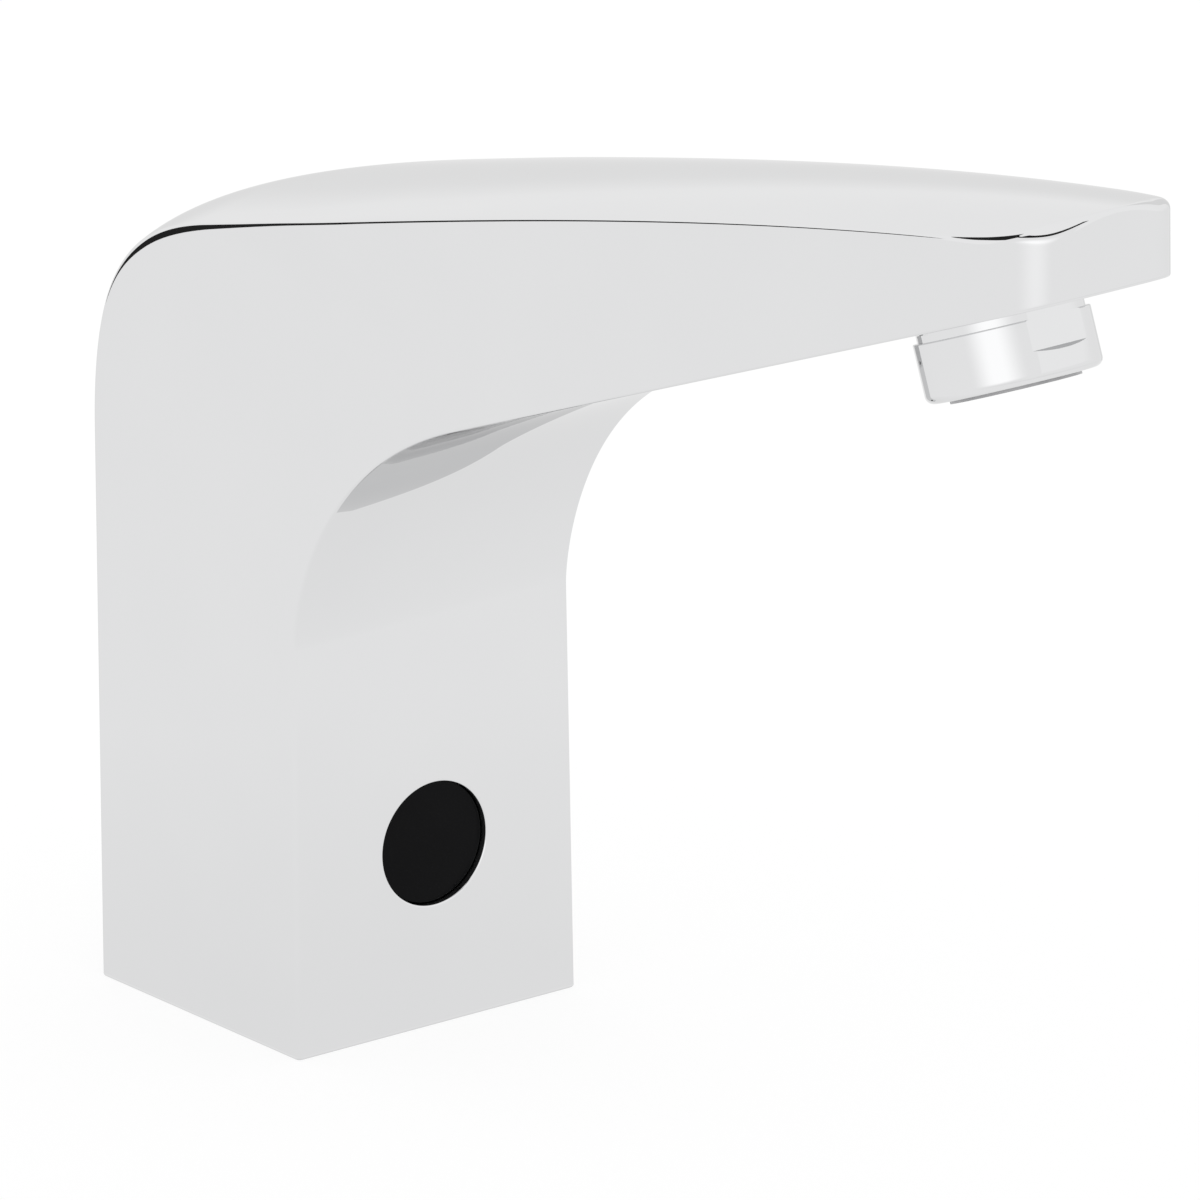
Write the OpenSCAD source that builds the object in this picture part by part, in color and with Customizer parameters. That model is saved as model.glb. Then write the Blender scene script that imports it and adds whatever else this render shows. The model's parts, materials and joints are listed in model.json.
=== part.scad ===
// Infrared sensor tap for a basin, in millimetres, +Z up, spout towards -Y.
// The origin is the centre of the foot, on the deck.

/* [Column] */
// Width of the column at the deck
body_w = 52; // [51:0.5:53]
// Depth of the column along its side edges
column_depth = 49.2; // [48.8:0.2:50]
// Bulge of the back face at its middle
back_bulge = 8.7; // [8.3:0.2:9.1]
// Narrowing of each side for each millimetre of height
draft_share = 0.0061; // [0.0055:0.0003:0.0067]
// Wall thickness of the casting
wall = 3.2; // [3.1:0.05:3.3]
// Height where the back starts to curve over
round_start_z = 86.6; // [86:0.2:88]
// Curve handle at the start of the back's rounding
round_start_handle = 28.5; // [28:0.25:29]
// Curve handle at the end of the back's rounding
round_end_handle = 16.9; // [16.4:0.25:17.4]
// Setback of the rounding's end from the column's back edge
round_setback = 28.55; // [28:0.25:29]

/* [Spout] */
// Reach of the nose from the column's front face
spout_reach = 163.25; // [162.25:0.25:164.25]
// Height of the top edge at the nose
tip_z = 165.3; // [164.9:0.2:166.3]
// Rise of the top edge from the elbow to the nose
spout_rise = 39.9; // [39.3:0.2:40.5]
// Slope of the top edge at the elbow
elbow_slope_share = 0.2575; // [0.25:0.0025:0.265]
// Slope of the top edge at the nose
tip_slope_share = 0.146; // [0.14:0.002:0.152]
// Slope of the spout's underside
underside_slope_share = 0.383; // [0.378:0.0025:0.388]
// Thickness of the nose at its side edges
nose_t = 9.7; // [9.3:0.2:10.3]
// Crown of the spout's top at the nose
nose_crown = 2.4; // [2.2:0.1:2.6]
// Narrowing of each side for each millimetre along the spout
taper_share = 0.0583; // [0.0565:0.0009:0.0601]
// Distance over which the sides turn from straight to tapered
taper_blend = 5; // [4:0.5:6]
// Setback of the taper's start from the column's front face
taper_setback = 3.75; // [3:0.25:5]
// Length of the rounded nose
nose_length = 24.4; // [23.9:0.25:25]
// Squareness of the nose's outline, where 2 is an ellipse
nose_power_share = 3.4; // [3.2:0.1:3.6]
// Height where the front starts to curve into the spout
fillet_start_z = 64; // [63:0.5:65]
// Curve handle at the start of the front's curve
fillet_start_handle = 3.1; // [3:0.1:3.4]
// Curve handle at the end of the front's curve
fillet_end_handle = 36.7; // [36:0.25:37.4]
// Setback of the front curve's end from the column's front face
fillet_reach = 37.1; // [36.6:0.25:37.6]
// Length of the spout's solid end behind the aerator's axis
solid_length = 22.2; // [22:0.1:22.4]

/* [Foot] */
// Thickness of the base plate
plate_t = 5; // [4.9:0.05:5.1]
// Height of the screw bosses above the deck
boss_top_z = 18; // [17.8:0.1:18.2]
// Radius of the screw bosses
boss_r = 4; // [3.95:0.05:4.1]
// Distance of the plate screws from the column's inner sides
boss_setback = 3.65; // [3.6:0.05:3.75]
// Distance of the front plate screws behind the front face
front_screw_setback = 7.05; // [7:0.05:7.1]
// Distance of the rear plate screws ahead of the back's side edges
back_screw_setback = 5.2; // [5.1:0.05:5.3]
// Shank radius of the plate screws
plate_screw_r = 1.5; // [1.45:0.05:1.55]
// Head radius of the plate screws
plate_head_r = 2.75; // [2.7:0.05:2.8]
// Head thickness of the plate screws
plate_head_t = 2.4; // [2.3:0.05:2.5]
// Length of the plate screws' shanks
plate_screw_length = 12; // [11.5:0.25:12.5]
// Depth of the plate's counterbores below the heads
head_sink = 0.6; // [0.5:0.05:0.7]
// Wall between the deck seal and the holes that it surrounds
seal_wall = 0.4; // [0.35:0.05:0.45]
// Width of the deck seal's ring
seal_w = 1.6; // [1.5:0.05:1.7]
// Thickness of the deck seal
seal_t = 1.7; // [1.6:0.05:1.8]
// Distance of the stud holes from the middle plane
stud_x = 12; // [11.9:0.05:12.1]
// Setback of the stud holes ahead of the foot's centre
stud_setback = 1; // [0.9:0.05:1.1]
// Radius of the stud holes
stud_hole_r = 3; // [2.95:0.05:3.05]
// Depth of the stud holes
stud_hole_depth = 12; // [11.8:0.1:12.2]
// Wall around the stud holes
stud_boss_wall = 2; // [1.9:0.05:2]
// Radius of the valve's posts
post_r = 2.8; // [2.75:0.05:2.85]
// Distance of the cable gland ahead of the foot's centre
gland_setback = 10.4; // [10.3:0.05:10.6]
// Radius of the cable gland's barrel
gland_r = 3.6; // [3.55:0.05:3.65]
// Radius of the hole for the supply lead
gland_hole_r = 2.5; // [2.45:0.05:2.55]
// Height of the cable gland above the plate
gland_rise = 4; // [3.8:0.1:4.2]
// Width of the cable gland's flange
gland_flange_w = 0.8; // [0.75:0.05:0.85]
// Thickness of the cable gland's flange
gland_flange_t = 1; // [0.9:0.05:1.1]

/* [Inlet] */
// Distance of the inlet's axis behind the foot's centre
inlet_setback = 9; // [8.95:0.05:9.05]
// Radius of the threaded inlet port
port_r = 5; // [4.95:0.05:5.05]
// Depth of the threaded inlet port
port_depth = 9; // [8.9:0.05:9.1]
// Radius of the connector's spigot in the plate
spigot_r = 6.2; // [6.15:0.05:6.25]
// Radius of the connector's nipple
nipple_r = 8; // [7.95:0.05:8.05]
// Radius of the connector's shoulder
shoulder_r = 9; // [8.95:0.05:9.05]
// Thickness of the connector's shoulder
shoulder_t = 2; // [1.9:0.05:2.1]
// Height of the connector's top
connector_top_z = 24; // [23.9:0.05:24.1]
// Radius of the strainer
filter_r = 4.7; // [4.65:0.05:4.75]
// Height of the strainer
filter_h = 3.6; // [3.5:0.05:3.7]
// Wall thickness of the strainer
filter_t = 0.5; // [0.45:0.05:0.55]
// Radius of the strainer's holes
filter_hole_r = 0.6; // [0.55:0.05:0.65]
// Radius of the throat above the strainer
throat_r = 3.5; // [3.45:0.05:3.55]
// Length of the throat above the strainer
throat_length = 1; // [0.95:0.05:1.05]
// Radius of the non-return valve's cartridge
check_r = 5.4; // [5.35:0.05:5.45]
// Wall thickness of the cartridge
check_t = 0.8; // [0.75:0.05:0.85]
// Thickness of the cartridge's end plates
check_plate_t = 1.2; // [1.15:0.05:1.25]
// Radius of the cartridge's seat hole
check_seat_r = 2.6; // [2.55:0.05:2.65]
// Radius of the poppet's disc
poppet_r = 3.8; // [3.75:0.05:3.85]
// Thickness of the poppet's disc
poppet_t = 1.5; // [1.45:0.05:1.55]
// Radius of the poppet's stem
poppet_stem_r = 1; // [0.95:0.05:1.05]
// Opening lift of the poppet
poppet_lift = 2.5; // [2.4:0.05:2.6]
// Radius of the cartridge's flow holes
check_hole_r = 0.9; // [0.85:0.05:0.95]
// Mean radius of the non-return spring
check_spring_r = 2.6; // [2.55:0.05:2.65]
// Radius of the springs' wire
wire_r = 0.3; // [0.28:0.01:0.32]
// Section radius of the rubber seals
cord_r = 0.7; // [0.68:0.01:0.72]

/* [Valve] */
// Distance of the valve's axis behind the foot's centre
valve_setback = 2.2; // [2.15:0.05:2.25]
// Gap between the valve and the walls or bracket beside it
side_gap = 0.4; // [0.35:0.05:0.45]
// Gap between the valve's bonnet and the outlet tube
tube_gap = 0.6; // [0.55:0.05:0.65]
// Height of the valve body's top
valve_top_z = 36; // [35.9:0.05:36.1]
// Height of the valve's pressure chamber above the nipple
chamber_floor_rise = 7; // [6.9:0.05:7.1]
// Wall between the valve's pressure chamber and its flange's edge
chamber_wall = 3.4; // [3.35:0.05:3.45]
// Radius of the valve seat's bore for each millimetre of the chamber's radius
seat_bore_share = 0.38; // [0.375:0.005:0.385]
// Wall thickness of the valve seat
seat_t = 1.2; // [1.15:0.05:1.25]
// Drop of the valve seat below the body's top
seat_drop = 1.7; // [1.65:0.05:1.75]
// Radius of the cross channel to the outlet
channel_r = 2.4; // [2.35:0.05:2.45]
// Wall around the inlet and outlet sockets
socket_wall = 2.1; // [2.05:0.05:2.15]
// Depth of the outlet tube's socket
riser_socket_depth = 7.5; // [7.4:0.05:7.6]
// Radius of the inlet passage
inlet_passage_r = 2; // [1.95:0.05:2.05]
// Depth of the nipple in the valve body
nipple_depth = 5.4; // [5.3:0.05:5.5]
// Distance of the bonnet screws from the flange's edges
bonnet_screw_setback = 2.3; // [2.25:0.05:2.35]
// Shank radius of the small screws
small_screw_r = 1.2; // [1.15:0.05:1.25]
// Head radius of the small screws
small_head_r = 2.1; // [2.05:0.05:2.15]
// Head thickness of the small screws
small_head_t = 2; // [1.9:0.05:2.1]
// Length of the bonnet screws' shanks
bonnet_screw_length = 14; // [13.8:0.1:14.2]
// Length of the valve screws' shanks
valve_screw_length = 23; // [22.8:0.1:23.2]
// Lap of the diaphragm around the pressure chamber
diaphragm_lap = 1.6; // [1.55:0.05:1.65]
// Thickness of the diaphragm
diaphragm_t = 1.2; // [1.15:0.05:1.25]
// Radius of the diaphragm's stiff core for each millimetre of the chamber's radius
core_share = 0.56; // [0.555:0.005:0.565]
// Height of the diaphragm's stiff core
core_h = 3.9; // [3.85:0.05:3.95]
// Radius of the pilot hole in the core
pilot_r = 0.6; // [0.55:0.05:0.65]
// Thickness of the bonnet
bonnet_t = 6; // [5.9:0.05:6.1]
// Height of the chamber under the bonnet
bonnet_chamber_h = 3.5; // [3.4:0.05:3.6]

/* [Solenoid] */
// Radius of the plunger for each millimetre of the room beside the middle plane
plunger_share = 0.183; // [0.182:0.001:0.184]
// Length of the plunger
plunger_length = 12.4; // [12.3:0.05:12.5]
// Lift of the plunger
plunger_lift = 1.8; // [1.7:0.05:1.9]
// Wall thickness of the armature tube
armature_t = 0.5; // [0.45:0.05:0.55]
// Width of the armature tube's flange
armature_flange_w = 1.9; // [1.85:0.05:1.95]
// Thickness of the armature tube's flange
armature_flange_t = 1.4; // [1.35:0.05:1.45]
// Radius of the plunger's spring pocket
spring_pocket_r = 2.3; // [2.25:0.05:2.35]
// Depth of the plunger's spring pocket
spring_pocket_depth = 6; // [5.9:0.05:6.1]
// Mean radius of the plunger's spring
plunger_spring_r = 1.7; // [1.65:0.05:1.75]
// Length of the armature stop inside the tube
stop_length = 7; // [6.9:0.05:7.1]
// Radius of the armature stop's stud
stop_stud_r = 2.5; // [2.45:0.05:2.55]
// Length of the armature stop's stud
stop_stud_length = 6; // [5.9:0.05:6.1]
// Radius of the coil's flanges for each millimetre of the room beside the middle plane
coil_share = 0.43; // [0.428:0.002:0.432]
// Wall thickness of the bobbin's barrel
bobbin_t = 0.8; // [0.75:0.05:0.85]
// Thickness of the bobbin's flanges
bobbin_flange_t = 1; // [0.95:0.05:1.05]
// Inset of the winding from the bobbin's flanges
winding_inset = 0.5; // [0.45:0.05:0.55]
// Gap between the coil's steel yoke and the bonnet screws
yoke_screw_gap = 0.5; // [0.45:0.05:0.55]
// Thickness of the yoke's strip
yoke_t = 1.2; // [1.15:0.05:1.25]
// Distance of the yoke's side strips from the coil's flanges
yoke_gap = 0.7; // [0.65:0.05:0.75]
// Distance across the corners of the coil's nut
nut_corner_d = 9.2; // [9.1:0.05:9.3]
// Thickness of the coil's nut
nut_t = 2.4; // [2.3:0.05:2.5]

/* [Sensor] */
// Height of the window's centre above the deck
window_z = 28.6; // [28.4:0.1:28.8]
// Radius of the window's opening
window_hole_r = 9.6; // [9.5:0.05:9.7]
// Depth of the window below the front face
window_recess = 1.2; // [1.15:0.05:1.25]
// Thickness of the window
window_t = 1.7; // [1.65:0.05:1.75]
// Width of the window's gasket
gasket_w = 1.6; // [1.55:0.05:1.65]
// Radius of the sensor housing's flange
housing_flange_r = 11.4; // [11.3:0.05:11.5]
// Thickness of the sensor housing's flange
housing_flange_t = 1.6; // [1.55:0.05:1.65]
// Outer radius of the sensor housing's barrel
housing_r = 9.2; // [9.1:0.05:9.3]
// Length of the sensor housing behind the wall
housing_length = 11; // [10.9:0.05:11.1]
// Wall thickness of the sensor housing
housing_t = 1.2; // [1.15:0.05:1.25]
// Distance of the emitter and receiver from the middle plane
eye_x = 3.9; // [3.85:0.05:3.95]
// Radius of the emitter and receiver
eye_r = 2.5; // [2.45:0.05:2.55]
// Length of the emitter and receiver
eye_length = 7.2; // [7.15:0.05:7.25]
// Thickness of the circuit board
board_t = 1.6; // [1.5:0.05:1.7]
// Thickness of the sensor's back cover
back_cover_t = 1.5; // [1.45:0.05:1.55]
// Half width of the bracket behind the sensor
bracket_half_w = 8.6; // [8.5:0.05:8.7]
// Thickness of the bracket's sheet
bracket_t = 1.2; // [1.15:0.05:1.25]
// Height of the bracket
bracket_top_z = 40; // [39.5:0.25:40.5]
// Length of the bracket's foot
bracket_foot = 8; // [7.9:0.05:8.1]
// Half width of the opening in the bracket's foot
bracket_gap_half_w = 4.2; // [4.1:0.05:4.3]
// Height of the opening in the bracket's foot above the plate
bracket_gap_h = 9; // [8.9:0.05:9.1]
// Length of the bracket screws' shanks
bracket_screw_length = 4.6; // [4.5:0.05:4.7]
// Radius of the coil's lead
lead_r = 0.9; // [0.85:0.05:0.95]

/* [Outlet] */
// Outer radius of the outlet tube for each millimetre of the room beside the middle plane
tube_share = 0.16; // [0.159:0.001:0.161]
// Wall thickness of the outlet tube
tube_t = 0.8; // [0.75:0.05:0.85]
// Radius of the outlet tube's bend
bend_r = 16; // [15.8:0.1:16.2]
// Slope of the outlet tube along the spout
tube_slope_share = 0.33; // [0.325:0.0025:0.335]
// Depth of the outlet tube's socket at the spout's solid end
tip_socket_depth = 6; // [5.9:0.05:6.1]
// Radius of the passage into the aerator's chamber
tip_passage_r = 2.2; // [2.15:0.05:2.25]

/* [Aerator] */
// Distance of the aerator's axis behind the nose, along the underside's level
aerator_setback = 27; // [26.5:0.25:27.5]
// Radius of the female thread
thread_r = 12; // [11.95:0.05:12.05]
// Depth of the female thread
thread_depth = 8.5; // [8.4:0.05:8.6]
// Length of the male thread in the spout
thread_length = 6; // [5.9:0.05:6.1]
// Radius of the water chamber above the thread
chamber_tip_r = 9; // [8.9:0.05:9.1]
// Depth of the water chamber above the thread
chamber_tip_depth = 4; // [3.9:0.05:4.1]
// Gap between the aerator's collar and the spout
collar_gap = 0.3; // [0.28:0.02:0.34]
// Radius of the aerator's collar
collar_r = 12.3; // [12.25:0.05:12.35]
// Distance of the aerator's skirt below the spout
skirt_drop = 1.4; // [1.35:0.05:1.45]
// Radius of the aerator's skirt
skirt_r = 13; // [12.9:0.05:13.1]
// Length of the aerator's skirt
skirt_length = 8.9; // [8.8:0.05:9]
// Rounding of the skirt's lower edge
skirt_round = 1.3; // [1.2:0.05:1.4]
// Width across the spanner flats
flats_w = 24; // [23.9:0.05:24.1]
// Length of the spanner flats
flats_length = 5; // [4.9:0.05:5.1]
// Rise of the flats' lower edge for each millimetre of their depth
flats_ramp_share = 0.5; // [0.48:0.01:0.52]
// Turn of the spanner flats in degrees
flats_turn = -2; // [-3:0.5:-1]
// Radius of the bore in the aerator's housing
insert_r = 10.4; // [10.35:0.05:10.45]
// Radius of the insert's visible ring
insert_ring_r = 9.65; // [9.6:0.05:9.7]
// Height of the insert's visible ring below the skirt
insert_show = 0.5; // [0.45:0.05:0.55]
// Thickness of the housing's lower lip
lip_t = 1.6; // [1.55:0.05:1.65]
// Length of the insert inside the housing
insert_length = 8; // [7.9:0.05:8.1]
// Wall thickness of the insert
insert_t = 1; // [0.95:0.05:1.05]
// Radius of the insert's jet holes
jet_r = 0.75; // [0.7:0.05:0.8]
// Spacing of the rings of jet holes
jet_spacing = 2.5; // [2.4:0.05:2.6]
// Thickness of the aerator's screen
screen_t = 0.6; // [0.55:0.05:0.65]
// Thickness of the flow regulator
regulator_t = 2; // [1.9:0.05:2.1]
// Radius of the flow regulator
regulator_r = 7.6; // [7.5:0.05:7.7]
// Inner radius of the aerator's washer
washer_hole_r = 8.4; // [8.3:0.05:8.5]
// Outer radius of the aerator's washer
washer_r = 11.6; // [11.5:0.05:11.7]
// Thickness of the aerator's washer
washer_t = 1.4; // [1.35:0.05:1.45]

/* [Fits] */
// Radial running clearance of moving pieces
run_gap = 0.06; // [0.05:0.01:0.08]
// Radial clearance of fixed pieces in their holes
seat_gap = 0.1; // [0.08:0.01:0.12]
// Gap between a moving piece and its stop
stop_gap = 0.3; // [0.28:0.02:0.36]
// Overrun of every cut through a face
over = 0.5; // [0.4:0.1:0.6]
// Step and overlap where two lengths of a tube or lead join
join = 0.02; // [0.01:0.01:0.03]

/* [Fineness] */
// Steps across the back's bulge
cross_steps = 12; // [12:2:16]
// Steps along the rounding of the back
round_steps = 14; // [14:1:18]
// Steps along the spout
spout_steps = 8; // [8:1:10]
// Steps around the nose
nose_steps = 11; // [11:1:14]
// Faces around the wire of a spring
wire_faces = 6; // [6:1:8]
// Steps in each turn of a spring
turn_steps = 10; // [10:1:12]

/* [Hidden] */
$fn = 64;
chrome = [0.82, 0.83, 0.85];
brass = [0.78, 0.62, 0.32];
steel = [0.62, 0.64, 0.67];
black = [0.08, 0.08, 0.09];
grey = [0.5, 0.5, 0.51];
rubber = [0.16, 0.16, 0.17];
plastic = [0.88, 0.88, 0.84];
copper = [0.72, 0.38, 0.2];
board_green = [0.1, 0.35, 0.18];

front_y = -(column_depth + back_bulge) / 2;
edge_y = front_y + column_depth;
elbow_y = edge_y - round_setback;
tip_y = front_y - spout_reach;
nose_y = tip_y + nose_length;
underside_tip_z = tip_z - nose_t;
elbow_z = tip_z - spout_rise;
fillet_y = front_y - fillet_reach;
aerator_y = tip_y + aerator_setback;
solid_y = aerator_y + solid_length;
spout_run = elbow_y - tip_y;
tilt = atan(underside_slope_share);
last_nose_angle = 88;
check_spring_turns = 3.5;
plunger_spring_turns = 5;
filter_holes = 6;
check_holes = 6;
regulator_holes = 8;
jet_rings = 3;

// Inside outline of the column
inner_w = body_w / 2 - wall - draft_share * round_start_z;
inner_front_y = front_y + wall;
inner_edge_y = edge_y - wall;
plate_screw_x = inner_w - boss_setback;

// Levels of the inlet and the valve, from the deck upwards
filter_z = port_depth + seat_gap;
throat_z = filter_z + filter_h + seat_gap;
check_z = throat_z + throat_length;
check_h = connector_top_z - check_z - seat_gap;
poppet_z = check_z + check_plate_t + stop_gap;
check_guide_z = check_z + check_h - check_plate_t;
valve_bottom_z = connector_top_z - nipple_depth;
chamber_floor_z = connector_top_z + chamber_floor_rise;
channel_z = connector_top_z + channel_r + seat_t;
seat_z = valve_top_z - seat_drop;
core_z = seat_z + stop_gap;
bonnet_z = valve_top_z + diaphragm_t;
bonnet_top_z = bonnet_z + bonnet_t;
plunger_z = core_z + core_h + stop_gap;
plunger_top_z = plunger_z + plunger_length;
stop_z = plunger_top_z + plunger_lift + stop_gap;
armature_top_z = stop_z + stop_length;
flange_z = bonnet_top_z - armature_flange_t - seat_gap;
yoke_z = bonnet_top_z + seat_gap;
coil_z = yoke_z + yoke_t + seat_gap;
yoke_top_z = armature_top_z;
coil_top_z = yoke_top_z - seat_gap;
spring_pocket_z = plunger_top_z - spring_pocket_depth;
post_top_z = connector_top_z - seat_gap;
inlet_y = inlet_setback;
valve_y = valve_setback;
stud_y = -stud_setback;
gland_y = -gland_setback;
seal_groove_t = seal_t + seat_gap;

// Levels of the sensor behind the front face
window_y = front_y + window_recess;
gasket_y = window_y + window_t;
housing_y = inner_front_y + seat_gap;
cover_y = housing_y + housing_length;
board_y = cover_y - board_t;
eye_y = board_y - eye_length;
bracket_y = cover_y + back_cover_t + seat_gap;

// Widths of the valve and solenoid, from the room that the column leaves them
room_x = inner_w - side_gap;
room_y = min(valve_y - bracket_y - bracket_t, inner_edge_y - valve_y) - side_gap;
tube_r = tube_share * room_x;
riser_x = room_x - tube_r - socket_wall;
flange_half = min(riser_x - tube_r - tube_gap, room_y);
chamber_r = flange_half - chamber_wall;
seat_bore_r = seat_bore_share * chamber_r;
core_r = core_share * chamber_r;
diaphragm_r = chamber_r + diaphragm_lap;
bonnet_screw_x = flange_half - bonnet_screw_setback;
post_y = valve_y - bonnet_screw_x;
sealed_r = max(inlet_y + spigot_r, norm([bonnet_screw_x, post_y]) + small_head_r);
seal_r = sealed_r + 2 * seat_gap + seal_wall + seal_w;
plunger_r = plunger_share * room_x;
armature_r = plunger_r + run_gap + armature_t;
armature_flange_r = armature_r + armature_flange_w;
coil_r = coil_share * room_x;
yoke_reach = coil_r + yoke_gap;
yoke_half_w = bonnet_screw_x - small_head_r - yoke_screw_gap;

// Line of the outlet tube, measured along its own vertical plane
aerator_z = underside_z(aerator_y);
chamber_mid = thread_depth + chamber_tip_depth / 2;
chamber_y = aerator_y + chamber_mid * sin(tilt);
chamber_z = aerator_z + chamber_mid * cos(tilt);
tube_run = norm([riser_x, valve_y - chamber_y]);
tube_turn = atan(riser_x / (valve_y - chamber_y));
tube_rise = atan(tube_slope_share);
bend_angle = 90 - tube_rise;
bend_run = bend_r * (1 - cos(bend_angle));
bend_end_z = chamber_z - tube_slope_share * (tube_run - bend_run);
bend_z = bend_end_z - bend_r * sin(bend_angle);
riser_z = valve_top_z - riser_socket_depth;
riser_seal_z = valve_top_z - riser_socket_depth / 2;
tube_end_run = tube_run - (solid_y - chamber_y - tip_socket_depth) / cos(tube_turn);

// Plain helpers

function mix(a, b, t) = a + (b - a) * t;

function bezier(p0, p1, p2, p3, t) =
    p0 * pow(1 - t, 3) + 3 * p1 * t * pow(1 - t, 2) + 3 * p2 * t * t * (1 - t) + p3 * pow(t, 3);

function bezier_direction(p0, p1, p2, p3, t) =
    (p1 - p0) * pow(1 - t, 2) + 2 * (p2 - p1) * t * (1 - t) + (p3 - p2) * t * t;

module rod(r, from_z, to_z) {
    translate([0, 0, from_z]) cylinder(r = r, h = to_z - from_z);
}

module tube(r_out, r_in, from_z, to_z) {
    difference() {
        rod(r_out, from_z, to_z);
        rod(r_in, from_z - over, to_z + over);
    }
}

module rod_y(r, from_y, to_y) {
    translate([0, from_y, 0]) rotate([-90, 0, 0]) cylinder(r = r, h = to_y - from_y);
}

module tube_y(r_out, r_in, from_y, to_y) {
    difference() {
        rod_y(r_out, from_y, to_y);
        rod_y(r_in, from_y - over, to_y + over);
    }
}

module seal_ring(mean_r, z) {
    translate([0, 0, z]) rotate_extrude() translate([mean_r, 0]) circle(r = cord_r, $fn = 32);
}

module box_between(a, b) {
    translate(a) cube(b - a);
}

module screw(shank_r, head_r, head_t, shank_length) {
    rod(head_r, 0, head_t);
    rod(shank_r, head_t - over, head_t + shank_length);
}

// Helical wire from one level to another about the local Z axis
module coil_spring(mean_r, from_z, to_z, turns) {
    steps = round(turns * turn_steps);
    points = [for (i = [0 : steps], k = [0 : wire_faces - 1])
        let(turn = 360 * turns * i / steps, round_angle = 360 * k / wire_faces,
            r = mean_r + wire_r * cos(round_angle),
            z = mix(from_z + wire_r, to_z - wire_r, i / steps) + wire_r * sin(round_angle))
        [r * cos(turn), r * sin(turn), z]];
    sides = [for (i = [0 : steps - 1], k = [0 : wire_faces - 1])
        let(a = i * wire_faces + k, b = i * wire_faces + (k + 1) % wire_faces)
        each [[a, a + wire_faces, b], [b, a + wire_faces, b + wire_faces]]];
    caps = [[for (k = [0 : wire_faces - 1]) k],
        [for (k = [wire_faces - 1 : -1 : 0]) steps * wire_faces + k]];
    polyhedron(points = points, faces = concat(sides, caps));
}

// Outer form of the column and spout

function half_width(y, z) =
    let(d = front_y - taper_setback - y)
    body_w / 2 - draft_share * min(z, elbow_z)
        - taper_share * (d + sqrt(d * d + taper_blend * taper_blend)) / 2;

function top_edge_z(y) =
    let(t = (elbow_y - y) / spout_run)
    elbow_z * (1 + 2 * t) * pow(1 - t, 2) + spout_run * elbow_slope_share * t * pow(1 - t, 2)
        + tip_z * t * t * (3 - 2 * t) - spout_run * tip_slope_share * t * t * (1 - t);

function crown(y) = mix(back_bulge * elbow_slope_share, nose_crown, (elbow_y - y) / spout_run);

function underside_z(y) = underside_tip_z - underside_slope_share * (y - tip_y);

function round_end_direction() = [cos(atan(elbow_slope_share)), -sin(atan(elbow_slope_share))];

function round_points() = [[edge_y, round_start_z], [edge_y, round_start_z + round_start_handle],
    [elbow_y, elbow_z] + round_end_handle * round_end_direction(), [elbow_y, elbow_z]];

function round_point(t) = let(p = round_points()) bezier(p[0], p[1], p[2], p[3], t);

function round_normal(t) =
    let(p = round_points(), d = bezier_direction(p[0], p[1], p[2], p[3], t))
    [-d[1], d[0]] / norm(d);

function fillet_point(t) =
    let(end = [fillet_y, underside_z(fillet_y)])
    bezier([front_y, fillet_start_z], [front_y, fillet_start_z + fillet_start_handle],
        end + fillet_end_handle * [cos(tilt), -sin(tilt)], end, t);

// One ring of points: the bulged side first, then the two flat corners
function column_ring(outside, inside) =
    let(w = half_width(outside[0], outside[1]), inner = half_width(inside[0], inside[1]))
    concat([for (j = [0 : cross_steps]) let(s = mix(-1, 1, j / cross_steps))
            [s * w, outside[0] + back_bulge * (1 - s * s), outside[1]]],
        [[inner, inside[0], inside[1]], [-inner, inside[0], inside[1]]]);

function spout_ring(outside_y, inside_y, width_share) =
    let(w = half_width(outside_y, elbow_z), inner = half_width(inside_y, elbow_z) * width_share,
        z = underside_z(inside_y))
    concat([for (j = [0 : cross_steps]) let(s = width_share * mix(-1, 1, j / cross_steps))
            [s * w, outside_y, top_edge_z(outside_y) + crown(outside_y) * (1 - s * s)]],
        [[inner, inside_y, z], [-inner, inside_y, z]]);

function nose_ring(angle) =
    let(y = nose_y - nose_length * pow(sin(angle), 2 / nose_power_share))
    spout_ring(y, y, pow(cos(angle), 2 / nose_power_share));

function body_rings() = concat(
    [column_ring([edge_y, 0], [front_y, 0])],
    [for (i = [0 : round_steps]) column_ring(round_point(i / round_steps),
        fillet_point(i / round_steps))],
    [for (i = [1 : spout_steps]) let(t = i / spout_steps)
        spout_ring(mix(elbow_y, nose_y, t), mix(fillet_y, nose_y, t), 1)],
    [for (i = [1 : nose_steps]) nose_ring(last_nose_angle * i / nose_steps)]);

module body_form() {
    rings = body_rings();
    count = cross_steps + 3;
    last = (len(rings) - 1) * count;
    points = [for (ring = rings, p = ring) p];
    sides = [for (i = [0 : len(rings) - 2], j = [0 : count - 1])
        let(a = i * count + j, b = i * count + (j + 1) % count)
        each (j == count - 2
            ? [[a, b, b + count, a + count]]
            : [[a, b, b + count], [a, b + count, a + count]])];
    foot = [[for (j = [count - 1 : -1 : 0]) j]];
    nose = [for (j = [0 : count - 3]) [last + count - 1, last + j, last + j + 1]];
    polyhedron(points = points, faces = concat(sides, foot, nose), convexity = 6);
}

// Hollows of the body

function bulged_edge(half, y) = [for (j = [0 : cross_steps])
    let(s = mix(1, -1, j / cross_steps)) [s * half, y + back_bulge * (1 - s * s)]];

function foot_outline(gap) = concat([[-inner_w + gap, inner_front_y + gap],
    [inner_w - gap, inner_front_y + gap]], bulged_edge(inner_w - gap, inner_edge_y - gap));

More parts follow.
